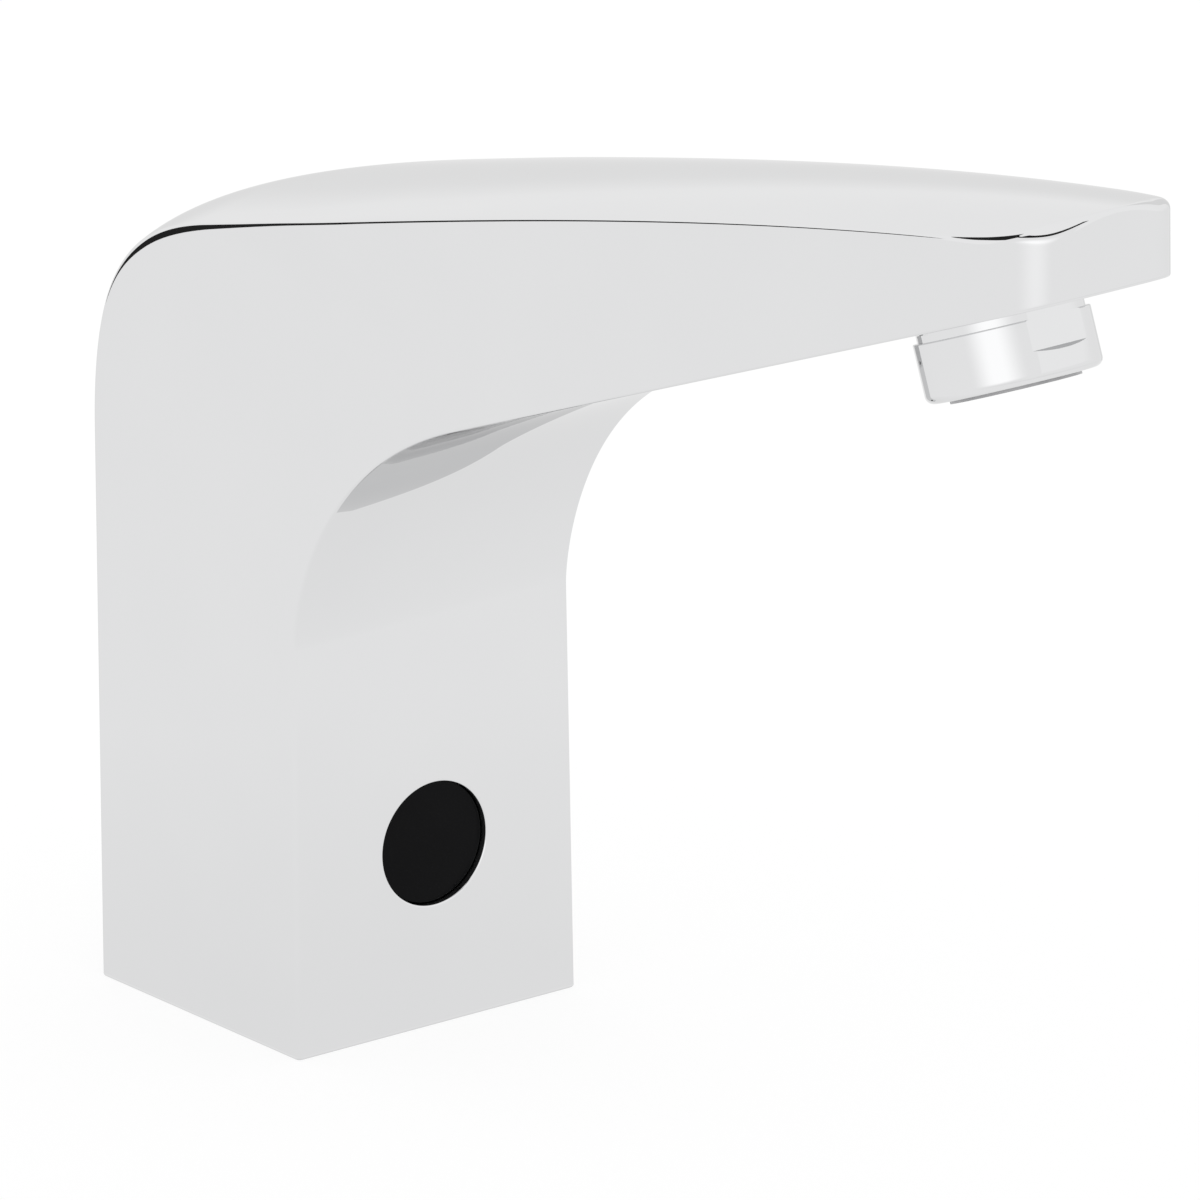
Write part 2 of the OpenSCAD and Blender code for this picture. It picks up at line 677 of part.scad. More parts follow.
module column_hollow() {
    roof = [for (i = [0 : round_steps / 2]) let(t = 2 * i / round_steps)
        round_point(t) + wall * round_normal(t)];
    outline = concat([[inner_front_y, -over], [inner_edge_y, -over]], roof,
        [[inner_front_y, top_edge_z(inner_front_y) - wall]]);
    translate([-inner_w, 0, 0]) rotate([90, 0, 90])
        linear_extrude(height = 2 * inner_w) polygon(outline);
    translate([0, 0, -over]) linear_extrude(height = round_start_z + wall + over)
        polygon(bulged_edge(inner_w, inner_edge_y));
}

module spout_hollow() {
    near_y = inner_front_y + wall;
    near = half_width(near_y, elbow_z) - wall;
    far = half_width(solid_y, elbow_z) - wall;
    points = [for (end = [[near_y, near], [solid_y, far]],
            z = [underside_z(end[0]) + wall, top_edge_z(end[0]) - wall], side = [-1, 1])
        [side * end[1], end[0], z]];
    polyhedron(points = points, faces = [[0, 1, 3, 2], [4, 6, 7, 5], [0, 4, 5, 1], [2, 3, 7, 6],
        [0, 2, 6, 4], [1, 5, 7, 3]]);
}

module at_plate_screws() {
    for (x = [-plate_screw_x, plate_screw_x],
            y = [front_y + front_screw_setback, edge_y - back_screw_setback]) {
        translate([x, y, 0]) children();
    }
}

module at_aerator() {
    translate([0, aerator_y, aerator_z]) rotate([180 - tilt, 0, 0]) children();
}

// Local +Z of the outlet tube's far end points up the spout
module at_tube_end() {
    translate([-riser_x, valve_y, 0]) rotate([0, 0, tube_turn])
        translate([0, -tube_end_run, bend_end_z + tube_slope_share * (tube_end_run - bend_run)])
        rotate([bend_angle, 0, 0]) children();
}

// Cutter for the groove around an outlet tube's seal
module tube_groove(z) {
    rod(tube_r + 2 * (cord_r + seat_gap), z - cord_r - seat_gap, z + cord_r + seat_gap);
}

module body_shell() {
    color(chrome) difference() {
        union() {
            difference() {
                body_form();
                column_hollow();
                spout_hollow();
            }
            at_plate_screws() rod(boss_r, plate_t + seat_gap, boss_top_z);
        }
        at_plate_screws() rod(plate_screw_r, 0, boss_top_z + over);
        translate([0, 0, window_z]) rod_y(window_hole_r, front_y - over, inner_front_y + over);
        at_aerator() rod(thread_r, -thread_depth, over);
        at_aerator() rod(chamber_tip_r, -thread_depth - chamber_tip_depth, 0);
        at_tube_end() {
            rod(tube_r + seat_gap, -tip_socket_depth - tube_r, 0);
            tube_groove(-tip_socket_depth / 2);
        }
        at_tube_end() rod(tip_passage_r, -over,
            (tube_run - tube_end_run) / sin(bend_angle) - tip_passage_r);
    }
}

// Foot

module base_plate() {
    color(steel) difference() {
        union() {
            linear_extrude(height = plate_t) polygon(foot_outline(seat_gap));
            for (side = [-1, 1]) {
                translate([side * stud_x, stud_y, 0])
                    rod(stud_hole_r + stud_boss_wall, 0, stud_hole_depth + stud_boss_wall);
                translate([side * bonnet_screw_x, post_y, 0]) rod(post_r, 0, post_top_z);
            }
        }
        for (side = [-1, 1]) {
            translate([side * stud_x, stud_y, 0]) rod(stud_hole_r, -over, stud_hole_depth);
            translate([side * bonnet_screw_x, post_y, 0]) {
                rod(small_screw_r + seat_gap, -over, post_top_z + over);
                rod(small_head_r + seat_gap, -over, head_sink + small_head_t + seat_gap);
            }
            translate([side * (bracket_half_w - small_head_r), bracket_y - bracket_foot / 2, 0])
                rod(small_screw_r + seat_gap, plate_t - bracket_screw_length, plate_t + over);
        }
        at_plate_screws() rod(plate_screw_r + seat_gap, -over, plate_t + over);
        at_plate_screws() rod(plate_head_r + seat_gap, -over, head_sink + plate_head_t + seat_gap);
        tube(seal_r + seat_gap, seal_r - seal_w - seat_gap, -over, seal_groove_t);
        translate([0, inlet_y, 0]) rod(spigot_r + seat_gap, -over, plate_t + over);
        translate([0, gland_y, 0]) rod(gland_r + seat_gap, -over, plate_t + over);
    }
}

module base_plate_screws() {
    color(steel) at_plate_screws() translate([0, 0, head_sink])
        screw(plate_screw_r - seat_gap, plate_head_r, plate_head_t, plate_screw_length);
}

module deck_seal() {
    color(rubber) tube(seal_r, seal_r - seal_w, 0, seal_t);
}

module cable_gland() {
    color(black) translate([0, gland_y, 0]) {
        tube(gland_r, gland_hole_r, 0, plate_t + gland_rise);
        tube(gland_r + gland_flange_w, gland_hole_r, plate_t + seat_gap,
            plate_t + seat_gap + gland_flange_t);
    }
}

// Inlet

module inlet_connector() {
    color(brass) translate([0, inlet_y, 0]) difference() {
        union() {
            rod(spigot_r, 0, plate_t + shoulder_t);
            rod(shoulder_r, plate_t + seat_gap, plate_t + shoulder_t);
            rod(nipple_r, plate_t + seat_gap, connector_top_z - seat_gap);
        }
        rod(port_r, -over, port_depth);
        rod(filter_r + seat_gap, port_depth - over, throat_z);
        rod(throat_r, throat_z - over, check_z + over);
        rod(check_r + seat_gap, check_z, connector_top_z + over);
        translate([0, 0, valve_bottom_z + nipple_depth / 2])
            tube(nipple_r + over, nipple_r - 2 * cord_r, -cord_r - seat_gap, cord_r + seat_gap);
    }
}

module inlet_filter() {
    color(steel) translate([0, inlet_y, filter_z]) difference() {
        rod(filter_r, 0, filter_h);
        rod(filter_r - filter_t, -over, filter_h - filter_t);
        for (ring = [[0, 1], [2 * filter_hole_r + filter_t, filter_holes]], k = [0 : ring[1] - 1]) {
            rotate(360 * k / ring[1]) translate([ring[0], 0, 0])
                rod(filter_hole_r, 0, filter_h + over);
        }
    }
}

module inlet_seal() {
    color(rubber) translate([0, inlet_y, 0])
        seal_ring(nipple_r - cord_r, valve_bottom_z + nipple_depth / 2);
}

module check_valve_body() {
    hole_ring_r = (poppet_stem_r + check_r - check_t) / 2;
    color(plastic) translate([0, inlet_y, 0]) difference() {
        rod(check_r, check_z, check_z + check_h);
        rod(check_r - check_t, check_z + check_plate_t, check_guide_z);
        rod(check_seat_r, check_z - over, check_z + check_plate_t + over);
        rod(poppet_stem_r + run_gap, check_guide_z - over, check_z + check_h + over);
        for (k = [0 : check_holes - 1]) {
            rotate(360 * k / check_holes) translate([hole_ring_r, 0, 0])
                rod(check_hole_r, check_guide_z - over, check_z + check_h + over);
        }
    }
}

module check_valve_poppet() {
    color(plastic) translate([0, inlet_y, poppet_z]) {
        rod(poppet_r, 0, poppet_t);
        rod(poppet_stem_r, 0, check_guide_z + check_plate_t - poppet_z);
    }
}

module check_valve_spring() {
    color(steel) translate([0, inlet_y, 0]) coil_spring(check_spring_r,
        poppet_z + poppet_t + seat_gap, check_guide_z - seat_gap, check_spring_turns);
}

// Valve

module at_bonnet_screws() {
    for (x = [-bonnet_screw_x, bonnet_screw_x], y = [-bonnet_screw_x, bonnet_screw_x]) {
        translate([x, valve_y + y, 0]) children();
    }
}

module valve_body() {
    arm_half = tube_r + socket_wall;
    color(plastic) difference() {
        union() {
            box_between([-flange_half, valve_y - flange_half, connector_top_z],
                [flange_half, valve_y + flange_half, valve_top_z]);
            box_between([-riser_x - arm_half, valve_y - arm_half, connector_top_z],
                [0, valve_y + arm_half, valve_top_z]);
            translate([0, inlet_y, 0])
                rod(nipple_r + socket_wall, valve_bottom_z, connector_top_z + over);
        }
        translate([0, inlet_y, 0]) rod(nipple_r + seat_gap, valve_bottom_z - over, connector_top_z);
        translate([0, inlet_y, 0]) rod(inlet_passage_r, connector_top_z - over,
            chamber_floor_z + over);
        translate([0, valve_y, 0]) {
            tube(chamber_r, seat_bore_r + seat_t, chamber_floor_z, seat_z);
            rod(chamber_r, seat_z, valve_top_z + over);
            rod(seat_bore_r, channel_z, seat_z + over);
        }
        translate([-riser_x, valve_y, channel_z]) rotate([0, 90, 0]) rod(channel_r, 0, riser_x);
        translate([-riser_x, valve_y, 0]) {
            rod(tube_r + seat_gap, riser_z, valve_top_z + over);
            tube_groove(riser_seal_z);
            rod(channel_r, channel_z, riser_z + over);
        }
        at_bonnet_screws() rod(small_screw_r + seat_gap, connector_top_z - over,
            valve_top_z + over);
    }
}

module valve_screws() {
    color(steel) for (side = [-1, 1]) {
        translate([side * bonnet_screw_x, post_y, head_sink])
            screw(small_screw_r, small_head_r, small_head_t, valve_screw_length);
    }
}

module diaphragm() {
    color(rubber) translate([0, valve_y, 0])
        tube(diaphragm_r, core_r + stop_gap, valve_top_z, bonnet_z);
}

module diaphragm_core() {
    color(plastic) translate([0, valve_y, 0]) tube(core_r, pilot_r, core_z, core_z + core_h);
}

module valve_bonnet() {
    color(brass) difference() {
        box_between([-flange_half, valve_y - flange_half, bonnet_z],
            [flange_half, valve_y + flange_half, bonnet_top_z]);
        translate([0, valve_y, 0]) {
            rod(chamber_r, bonnet_z - over, bonnet_z + bonnet_chamber_h);
            rod(armature_r + seat_gap, bonnet_z, bonnet_top_z + over);
            rod(armature_flange_r + seat_gap, flange_z, bonnet_top_z + over);
        }
        at_bonnet_screws() rod(small_screw_r + seat_gap, bonnet_z - over, bonnet_top_z + over);
    }
}

module bonnet_screws() {
    color(steel) at_bonnet_screws() translate([0, 0, bonnet_top_z + small_head_t])
        mirror([0, 0, 1]) screw(small_screw_r, small_head_r, small_head_t, bonnet_screw_length);
}

// Solenoid

module armature_tube() {
    color(steel) translate([0, valve_y, 0]) {
        tube(armature_r, plunger_r + run_gap, bonnet_z + bonnet_chamber_h, armature_top_z);
        tube(armature_flange_r, plunger_r + run_gap, flange_z, flange_z + armature_flange_t);
    }
}

module armature_stop() {
    color(steel) translate([0, valve_y, 0]) {
        rod(plunger_r, stop_z, armature_top_z);
        rod(stop_stud_r, stop_z, armature_top_z + yoke_t + stop_stud_length);
    }
}

module solenoid_plunger() {
    color(steel) translate([0, valve_y, 0]) difference() {
        rod(plunger_r, plunger_z, plunger_top_z);
        rod(spring_pocket_r, spring_pocket_z, plunger_top_z + over);
    }
}

module plunger_spring() {
    color(steel) translate([0, valve_y, 0]) coil_spring(plunger_spring_r,
        spring_pocket_z + seat_gap, stop_z - seat_gap, plunger_spring_turns);
}

module coil_bobbin() {
    color(black) translate([0, valve_y, 0]) {
        tube(armature_r + seat_gap + bobbin_t, armature_r + seat_gap, coil_z, coil_top_z);
        tube(coil_r, armature_r + seat_gap, coil_z, coil_z + bobbin_flange_t);
        tube(coil_r, armature_r + seat_gap, coil_top_z - bobbin_flange_t, coil_top_z);
    }
}

module coil_winding() {
    color(copper) translate([0, valve_y, 0]) tube(coil_r - winding_inset,
        armature_r + 2 * seat_gap + bobbin_t, coil_z + bobbin_flange_t + seat_gap,
        coil_top_z - bobbin_flange_t - seat_gap);
}

module coil_yoke() {
    outer = yoke_reach + yoke_t;
    color(steel) translate([0, valve_y, 0]) difference() {
        box_between([-yoke_half_w, -outer, yoke_z], [yoke_half_w, outer, yoke_top_z + yoke_t]);
        box_between([-yoke_half_w - over, -yoke_reach, yoke_z + yoke_t],
            [yoke_half_w + over, yoke_reach, yoke_top_z]);
        rod(armature_r + seat_gap, yoke_z - over, yoke_z + yoke_t + over);
        rod(stop_stud_r + seat_gap, yoke_top_z - over, yoke_top_z + yoke_t + over);
    }
}

module coil_nut() {
    color(steel) translate([0, valve_y, 0]) difference() {
        translate([0, 0, yoke_top_z + yoke_t + seat_gap])
            cylinder(d = nut_corner_d, h = nut_t, $fn = 6);
        rod(stop_stud_r + seat_gap, yoke_top_z, yoke_top_z + yoke_t + nut_t + over);
    }
}

module lead_piece(a, b) {
    d = b - a;
    translate(a) rotate([0, acos(d[2] / norm(d)), atan2(d[1], d[0])])
        cylinder(r = lead_r, h = norm(d));
}

module coil_lead() {
    start = [coil_r + lead_r + seat_gap, valve_y, coil_top_z - bobbin_flange_t];
    corner_y = bracket_y - lead_r;
    end = [eye_x, corner_y - bracket_t - housing_t, window_z + housing_r + lead_r + seat_gap];
    drop = [start[0], end[1], end[2] + housing_r];
    path = [start, [start[0], start[1], start[2] - housing_r], drop, end];
    color(black) for (i = [0 : len(path) - 2]) {
        lead_piece(path[i], path[i + 1]);
        translate(path[i + 1]) sphere(r = lead_r + join);
    }
}

// Outlet

module tube_path(r, overrun) {
    translate([-riser_x, valve_y, 0]) rotate([0, 0, tube_turn]) {
        rod(r, riser_z + seat_gap - overrun, bend_z + join);
        translate([0, -bend_r, bend_z]) rotate([90, 0, 90])
            rotate_extrude(angle = bend_angle) translate([bend_r, 0]) circle(r = r - join);
        translate([0, -bend_run, bend_end_z]) rotate([bend_angle, 0, 0])
            rod(r, -join, (tube_end_run - bend_run) / cos(tube_rise) - seat_gap + overrun);
    }
}

module outlet_tube() {
    color(brass) difference() {
        tube_path(tube_r, 0);
        tube_path(tube_r - tube_t, over);
    }
}

module outlet_tube_seals() {
    color(rubber) {
        translate([-riser_x, valve_y, 0])
            seal_ring(tube_r + seat_gap + cord_r, riser_seal_z);
        at_tube_end() seal_ring(tube_r + seat_gap + cord_r, -tip_socket_depth / 2);
    }
}

// Sensor

module at_window() {
    translate([0, 0, window_z]) children();
}

module sensor_window() {
    color(black) at_window() rod_y(window_hole_r - seat_gap, window_y, gasket_y - seat_gap);
}

module window_gasket() {
    color(rubber) at_window() tube_y(window_hole_r - seat_gap,
        window_hole_r - seat_gap - gasket_w, gasket_y, housing_y);
}

module sensor_housing() {
    hollow_r = housing_r - housing_t;
    color(black) at_window() {
        tube_y(housing_flange_r, hollow_r, housing_y, housing_y + housing_flange_t);
        tube_y(housing_r, hollow_r, housing_y, board_y - seat_gap);
    }
}

module eye(x) {
    at_window() translate([x, 0, 0]) {
        rod_y(eye_r, eye_y, board_y - seat_gap);
        translate([0, eye_y, 0]) sphere(r = eye_r);
    }
}

module ir_emitter() {
    color(black) eye(-eye_x);
}

module ir_receiver() {
    color(black) eye(eye_x);
}

module sensor_board() {
    color(board_green) at_window() rod_y(housing_r, board_y, cover_y - seat_gap);
}

module sensor_back_cover() {
    color(black) at_window() rod_y(housing_r, cover_y, cover_y + back_cover_t);
}

module carrier_bracket() {
    floor_z = plate_t + seat_gap;
    hole_x = bracket_half_w - small_head_r;
    color(steel) difference() {
        union() {
            box_between([-bracket_half_w, bracket_y, floor_z],
                [bracket_half_w, bracket_y + bracket_t, bracket_top_z]);
            box_between([-bracket_half_w, bracket_y - bracket_foot, floor_z],
                [bracket_half_w, bracket_y + bracket_t, floor_z + bracket_t]);
        }
        box_between([-bracket_gap_half_w, bracket_y - bracket_foot - over, floor_z - over],
            [bracket_gap_half_w, bracket_y + bracket_t + over, floor_z + bracket_gap_h]);
        for (side = [-1, 1]) {
            translate([side * hole_x, bracket_y - bracket_foot / 2, 0])
                rod(small_screw_r + seat_gap, plate_t, plate_t + bracket_t + 2 * over);
        }
    }
}

module bracket_screws() {
    top_z = plate_t + bracket_t + 2 * seat_gap + small_head_t;
    color(steel) for (side = [-1, 1]) {
        translate([side * (bracket_half_w - small_head_r), bracket_y - bracket_foot / 2, top_z])
            mirror([0, 0, 1])
            screw(small_screw_r, small_head_r, small_head_t, bracket_screw_length);
    }
}

// Aerator, drawn with local +Z out of the spout

module aerator_skirt() {
    corner_z = skirt_drop + skirt_length - skirt_round;
    rim = [for (a = [0 : 15 : 90])
        [skirt_r - skirt_round * (1 - cos(a)), corner_z + skirt_round * sin(a)]];
    rotate_extrude() polygon(concat([[0, skirt_drop], [skirt_r, skirt_drop]], rim,
        [[0, corner_z + skirt_round]]));
}

// Cutter for the spanner flats: a slab whose lower face ramps outwards
module flats_cutter() {
    depth = skirt_r - flats_w / 2;
    ramp = flats_ramp_share * depth;
    bottom_z = skirt_drop + flats_length;
    profile = [[flats_w / 2, skirt_drop - over], [skirt_r + over, skirt_drop - over],
        [skirt_r + over, bottom_z], [skirt_r, bottom_z], [flats_w / 2, bottom_z - ramp]];
    for (turn = [0, 180]) {
        rotate(turn) translate([-skirt_r, 0, 0]) rotate([90, 0, 90])
            linear_extrude(height = 2 * skirt_r) polygon(profile);
    }
}

module aerator_housing() {
    lip_z = skirt_drop + skirt_length - lip_t;
    color(chrome) at_aerator() rotate(flats_turn) difference() {
        union() {
            rod(thread_r - run_gap, -thread_length, skirt_drop);
            rod(collar_r, collar_gap, skirt_drop + over);
            difference() {
                aerator_skirt();
                flats_cutter();
            }
        }
        rod(insert_r + run_gap, -thread_length - over, lip_z);
        rod(insert_ring_r + run_gap, lip_z - over, lip_z + lip_t + over);
    }
}

module aerator_insert() {
    end_z = skirt_drop + skirt_length + insert_show;
    shoulder_z = skirt_drop + skirt_length - lip_t - stop_gap;
    color(grey) at_aerator() difference() {
        union() {
            rod(insert_ring_r, shoulder_z - over, end_z);
            rod(insert_r, shoulder_z - insert_length, shoulder_z);
        }
        rod(insert_ring_r - insert_t, shoulder_z - insert_length - over, shoulder_z - insert_t);
        rod(insert_ring_r - insert_t, shoulder_z + insert_t, end_z + over);
        for (ring = [0 : jet_rings], k = [0 : max(0, 6 * ring - 1)]) {
            rotate(360 * k / max(1, 6 * ring)) translate([ring * jet_spacing, 0, 0])
                cylinder(r = jet_r, h = end_z, $fn = 16);
        }
    }
}

module aerator_screen() {
    shoulder_z = skirt_drop + skirt_length - lip_t - stop_gap - insert_length;
    color(steel) at_aerator() difference() {
        rod(insert_r, shoulder_z - seat_gap - screen_t, shoulder_z - seat_gap);
        for (ring = [0 : jet_rings], k = [0 : max(0, 6 * ring - 1)]) {
            rotate(360 * k / max(1, 6 * ring))
                translate([ring * jet_spacing, 0, shoulder_z - screen_t - over])
                cylinder(r = jet_r, h = screen_t + 2 * over, $fn = 16);
        }
    }
}

module flow_regulator() {
    top_z = skirt_drop + skirt_length - lip_t - stop_gap - insert_length + seat_gap;
    color(plastic) at_aerator() difference() {
        rod(regulator_r, top_z, top_z + regulator_t);
        for (k = [0 : regulator_holes - 1]) {
            rotate(360 * k / regulator_holes) translate([regulator_r - 2 * jet_r, 0, top_z - over])
                rod(jet_r, 0, regulator_t + 2 * over);
        }
    }
}

module aerator_washer() {
    z = -thread_length - seat_gap;
    color(rubber) at_aerator() tube(washer_r, washer_hole_r, z - washer_t, z);
}

body_shell();
base_plate();
base_plate_screws();
deck_seal();
inlet_connector();
inlet_filter();
inlet_seal();
check_valve_body();
check_valve_poppet();
check_valve_spring();
valve_body();
valve_screws();
diaphragm();
diaphragm_core();
valve_bonnet();
bonnet_screws();
armature_tube();
armature_stop();
solenoid_plunger();
plunger_spring();
coil_bobbin();
coil_winding();
coil_yoke();
coil_nut();
outlet_tube();
outlet_tube_seals();
sensor_window();
window_gasket();
sensor_housing();
ir_emitter();
ir_receiver();
sensor_board();
sensor_back_cover();
carrier_bracket();
bracket_screws();
cable_gland();
coil_lead();
aerator_housing();
aerator_insert();
aerator_screen();
flow_regulator();
aerator_washer();
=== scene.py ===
"""Studio picture of the chrome sensor tap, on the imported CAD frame."""
import json
import math

import bmesh
import bpy
import numpy as np
from mathutils import Matrix, Vector

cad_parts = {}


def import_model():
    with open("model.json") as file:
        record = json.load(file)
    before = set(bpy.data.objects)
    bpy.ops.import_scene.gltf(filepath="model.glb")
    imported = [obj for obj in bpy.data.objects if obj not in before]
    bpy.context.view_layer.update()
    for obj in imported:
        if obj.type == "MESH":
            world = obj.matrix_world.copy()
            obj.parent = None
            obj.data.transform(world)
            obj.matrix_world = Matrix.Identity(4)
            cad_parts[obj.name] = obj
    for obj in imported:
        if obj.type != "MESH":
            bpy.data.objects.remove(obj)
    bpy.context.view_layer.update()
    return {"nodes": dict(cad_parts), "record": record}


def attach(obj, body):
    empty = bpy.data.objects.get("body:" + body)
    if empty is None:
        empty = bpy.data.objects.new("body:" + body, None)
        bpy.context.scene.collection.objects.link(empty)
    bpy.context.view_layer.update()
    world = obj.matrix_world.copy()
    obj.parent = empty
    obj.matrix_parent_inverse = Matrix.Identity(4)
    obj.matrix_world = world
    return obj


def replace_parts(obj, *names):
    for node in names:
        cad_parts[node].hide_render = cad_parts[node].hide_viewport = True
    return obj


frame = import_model()
MM = 0.001

# Sizes of the CAD body, in millimetres
BODY_W, WALL = 52.0, 3.2
FRONT_Y, EDGE_Y = -28.95, 20.25
BULGE = 8.7
DRAFT = 0.0061
ROUND_START_Z = 86.6
ROUND_HANDLES = (28.5, 16.9)
ELBOW_Y, ELBOW_Z = -8.3, 125.4
TIP_Y, TIP_Z = -192.2, 165.3
NOSE_Y, NOSE_LENGTH, NOSE_POWER = -167.8, 24.4, 3.4
SLOPES = (0.2575, 0.146)
CROWNS = (BULGE * SLOPES[0], 2.4)
UNDER_SLOPE, UNDER_TIP_Z = 0.383, 155.6
TAPER, TAPER_Y, TAPER_BLEND = 0.0583, -32.7, 5.0
FILLET_START_Z, FILLET_Y = 64.0, -66.05
FILLET_HANDLES = (3.1, 36.7)
TILT = math.atan(UNDER_SLOPE)
AERATOR_Y = -165.2
AERATOR = Vector((0, AERATOR_Y, UNDER_TIP_Z - UNDER_SLOPE * (AERATOR_Y - TIP_Y)))
FLATS_TURN = -2
WINDOW_Z, WINDOW_R, RIM_W = 28.6, 9.6, 0.5

# Cutters for the body's openings, in millimetres
HOLLOW_HEIGHT, OVER = 84, 0.5
RECESS_DEPTH = 12
BORE_R, BORE_DEPTH, BORE_CENTRE = 12, 9.5, -3.75

# Edge radii along the body, in millimetres
EDGE_R = 0.45
FRONT_R = 0.75
FOOT_R = 0.4
ROUND_R = 1.3
NOSE_R = 3.2
NOSE_DROP = 2.1

# How the radii change: shares of the back's curve, of the spout and of the nose
SWELL_START, SWELL_LENGTH, SWELL_END, SWELL_FADE = 0.3, 0.35, 1.3, 0.6
SPOUT_FADE = 2
FRONT_FADE = 1.3
NOSE_STEP, NOSE_STEP_LENGTH = 0.35, 0.25
NOSE_SWELL_START, NOSE_SWELL_LENGTH = 0.4, 0.3
NOSE_SWELL_END, NOSE_SWELL_FADE = 1.1, 0.4

# Rings along the body: heights on the column's front, then counts of steps
COLUMN_HEIGHTS = (FOOT_R, 4, 12, 22, 32, 42, 52, 60)
COLUMN_BACK_TOP = 84
FOOT_ANGLES = (90, 67.5, 45, 22.5)
BEND_STEPS, SPOUT_STEPS, NOSE_STEPS = 48, 40, 44

# Points of each half ring: shares of the side, then counts of steps
SIDE_SHARES = (0.03, 0.1, 0.25, 0.5, 0.75, 0.9, 0.97)
TOP_STEPS, LOW_STEPS, ARC_STEPS = 16, 8, 14
ARC_HANDLE = 0.5523
EDGE_STEP = 0.02
LEAST_SINE = 0.2

# Welding distances, in metres
BODY_WELD, TURNED_WELD = 0.000002, 1e-7

# Range of a noise or wave texture that a look is spread over
PATTERN_RANGE = (0.3, 0.7)

# The studio: the point that its cards stand round and their distances, in millimetres
STUDIO_CENTRE = Vector((0, -80, 110))
FLAG_DISTANCE, SOFT_DISTANCE = 2500, 2700
FLAG_COLUMNS, FLAG_ROWS = 24, 12
DARK = 0.02

# The photograph's width in pixels and the camera's sensor in millimetres
PHOTO_SIZE, SENSOR_W = 1200, 36


def bezier(points, t):
    p0, p1, p2, p3 = (np.array(p, float) for p in points)
    return p0 * (1 - t) ** 3 + 3 * p1 * t * (1 - t) ** 2 + 3 * p2 * t * t * (1 - t) + p3 * t ** 3


def half_width(y, z):
    d = TAPER_Y - y
    return BODY_W / 2 - DRAFT * min(z, ELBOW_Z) - TAPER * (d + math.hypot(d, TAPER_BLEND)) / 2


def along(y):
    """Share of the spout's run that y lies at, from the elbow to the nose."""
    return (ELBOW_Y - y) / (ELBOW_Y - TIP_Y)


def top_edge_z(y):
    t, run = along(y), ELBOW_Y - TIP_Y
    return (ELBOW_Z * (1 + 2 * t) * (1 - t) ** 2 + run * SLOPES[0] * t * (1 - t) ** 2
            + TIP_Z * t * t * (3 - 2 * t) - run * SLOPES[1] * t * t * (1 - t))


def top_z(x, y):
    crown = CROWNS[0] + (CROWNS[1] - CROWNS[0]) * along(y)
    return top_edge_z(y) + crown * (1 - (x / half_width(y, ELBOW_Z)) ** 2)


def underside_z(y):
    return UNDER_TIP_Z - UNDER_SLOPE * (y - TIP_Y)


def back_point(t):
    lean = math.atan(SLOPES[0])
    end = (ELBOW_Y, ELBOW_Z)
    return bezier(((EDGE_Y, ROUND_START_Z), (EDGE_Y, ROUND_START_Z + ROUND_HANDLES[0]),
                   (end[0] + ROUND_HANDLES[1] * math.cos(lean),
                    end[1] - ROUND_HANDLES[1] * math.sin(lean)), end), t)


def fillet_point(t):
    end = (FILLET_Y, underside_z(FILLET_Y))
    return bezier(((FRONT_Y, FILLET_START_Z), (FRONT_Y, FILLET_START_Z + FILLET_HANDLES[0]),
                   (end[0] + FILLET_HANDLES[1] * math.cos(TILT),
                    end[1] - FILLET_HANDLES[1] * math.sin(TILT)), end), t)


def smooth_step(t):
    t = min(1.0, max(0.0, t))
    return t * t * (3 - 2 * t)


def elbow_r(t):
    """Radius of the top edge round the back's curve, where t is 1 at the elbow."""
    swell = smooth_step((t - SWELL_START) / SWELL_LENGTH)
    return EDGE_R + (ROUND_R - EDGE_R) * (swell * smooth_step((SWELL_END - t) / SWELL_FADE))


def nose_swell(share):
    """How far the nose's rounding has grown, in two steps, before it shrinks at the tip."""
    swell = NOSE_STEP * smooth_step(share / NOSE_STEP_LENGTH)
    swell += (1 - NOSE_STEP) * smooth_step((share - NOSE_SWELL_START) / NOSE_SWELL_LENGTH)
    return swell * smooth_step((NOSE_SWELL_END - share) / NOSE_SWELL_FADE)


# Right-hand edges from foot to nose. Each entry has the top edge, the lower edge, the radii on
# the top and on the side, the lower radius and the kind of ring.

def column_edges():
    edges = []
    for z in COLUMN_HEIGHTS:
        share = z / COLUMN_HEIGHTS[-1]
        back_z = FOOT_R + (COLUMN_BACK_TOP - FOOT_R) * share if z > FOOT_R else FOOT_R
        top = np.array((half_width(EDGE_Y, back_z), EDGE_Y, back_z))
        low = np.array((half_width(FRONT_Y, z), FRONT_Y, z))
        edges.append((top, low, EDGE_R, EDGE_R, FRONT_R, "column"))
    return edges


def bend_edges():
    edges = []
    for i in range(BEND_STEPS + 1):
        t = i / BEND_STEPS
        back, front = back_point(t), fillet_point(t)
        top = np.array((half_width(*back), *back))
        low = np.array((half_width(*front), *front))
        r = elbow_r(t)
        front_r = FRONT_R + (EDGE_R - FRONT_R) * smooth_step(FRONT_FADE * t)
        edges.append((top, low, r, r, front_r, "column"))
    return edges


def spout_edges():
    edges = []
    for i in range(1, SPOUT_STEPS + 1):
        t = i / SPOUT_STEPS
        top_y = ELBOW_Y + (NOSE_Y - ELBOW_Y) * t
        low_y = FILLET_Y + (NOSE_Y - FILLET_Y) * t
        top = np.array((half_width(top_y, ELBOW_Z), top_y, top_edge_z(top_y)))
        low = np.array((half_width(low_y, ELBOW_Z), low_y, underside_z(low_y)))
        r = elbow_r(1 + SPOUT_FADE * t)
        edges.append((top, low, r, r, EDGE_R, "spout"))
    return edges


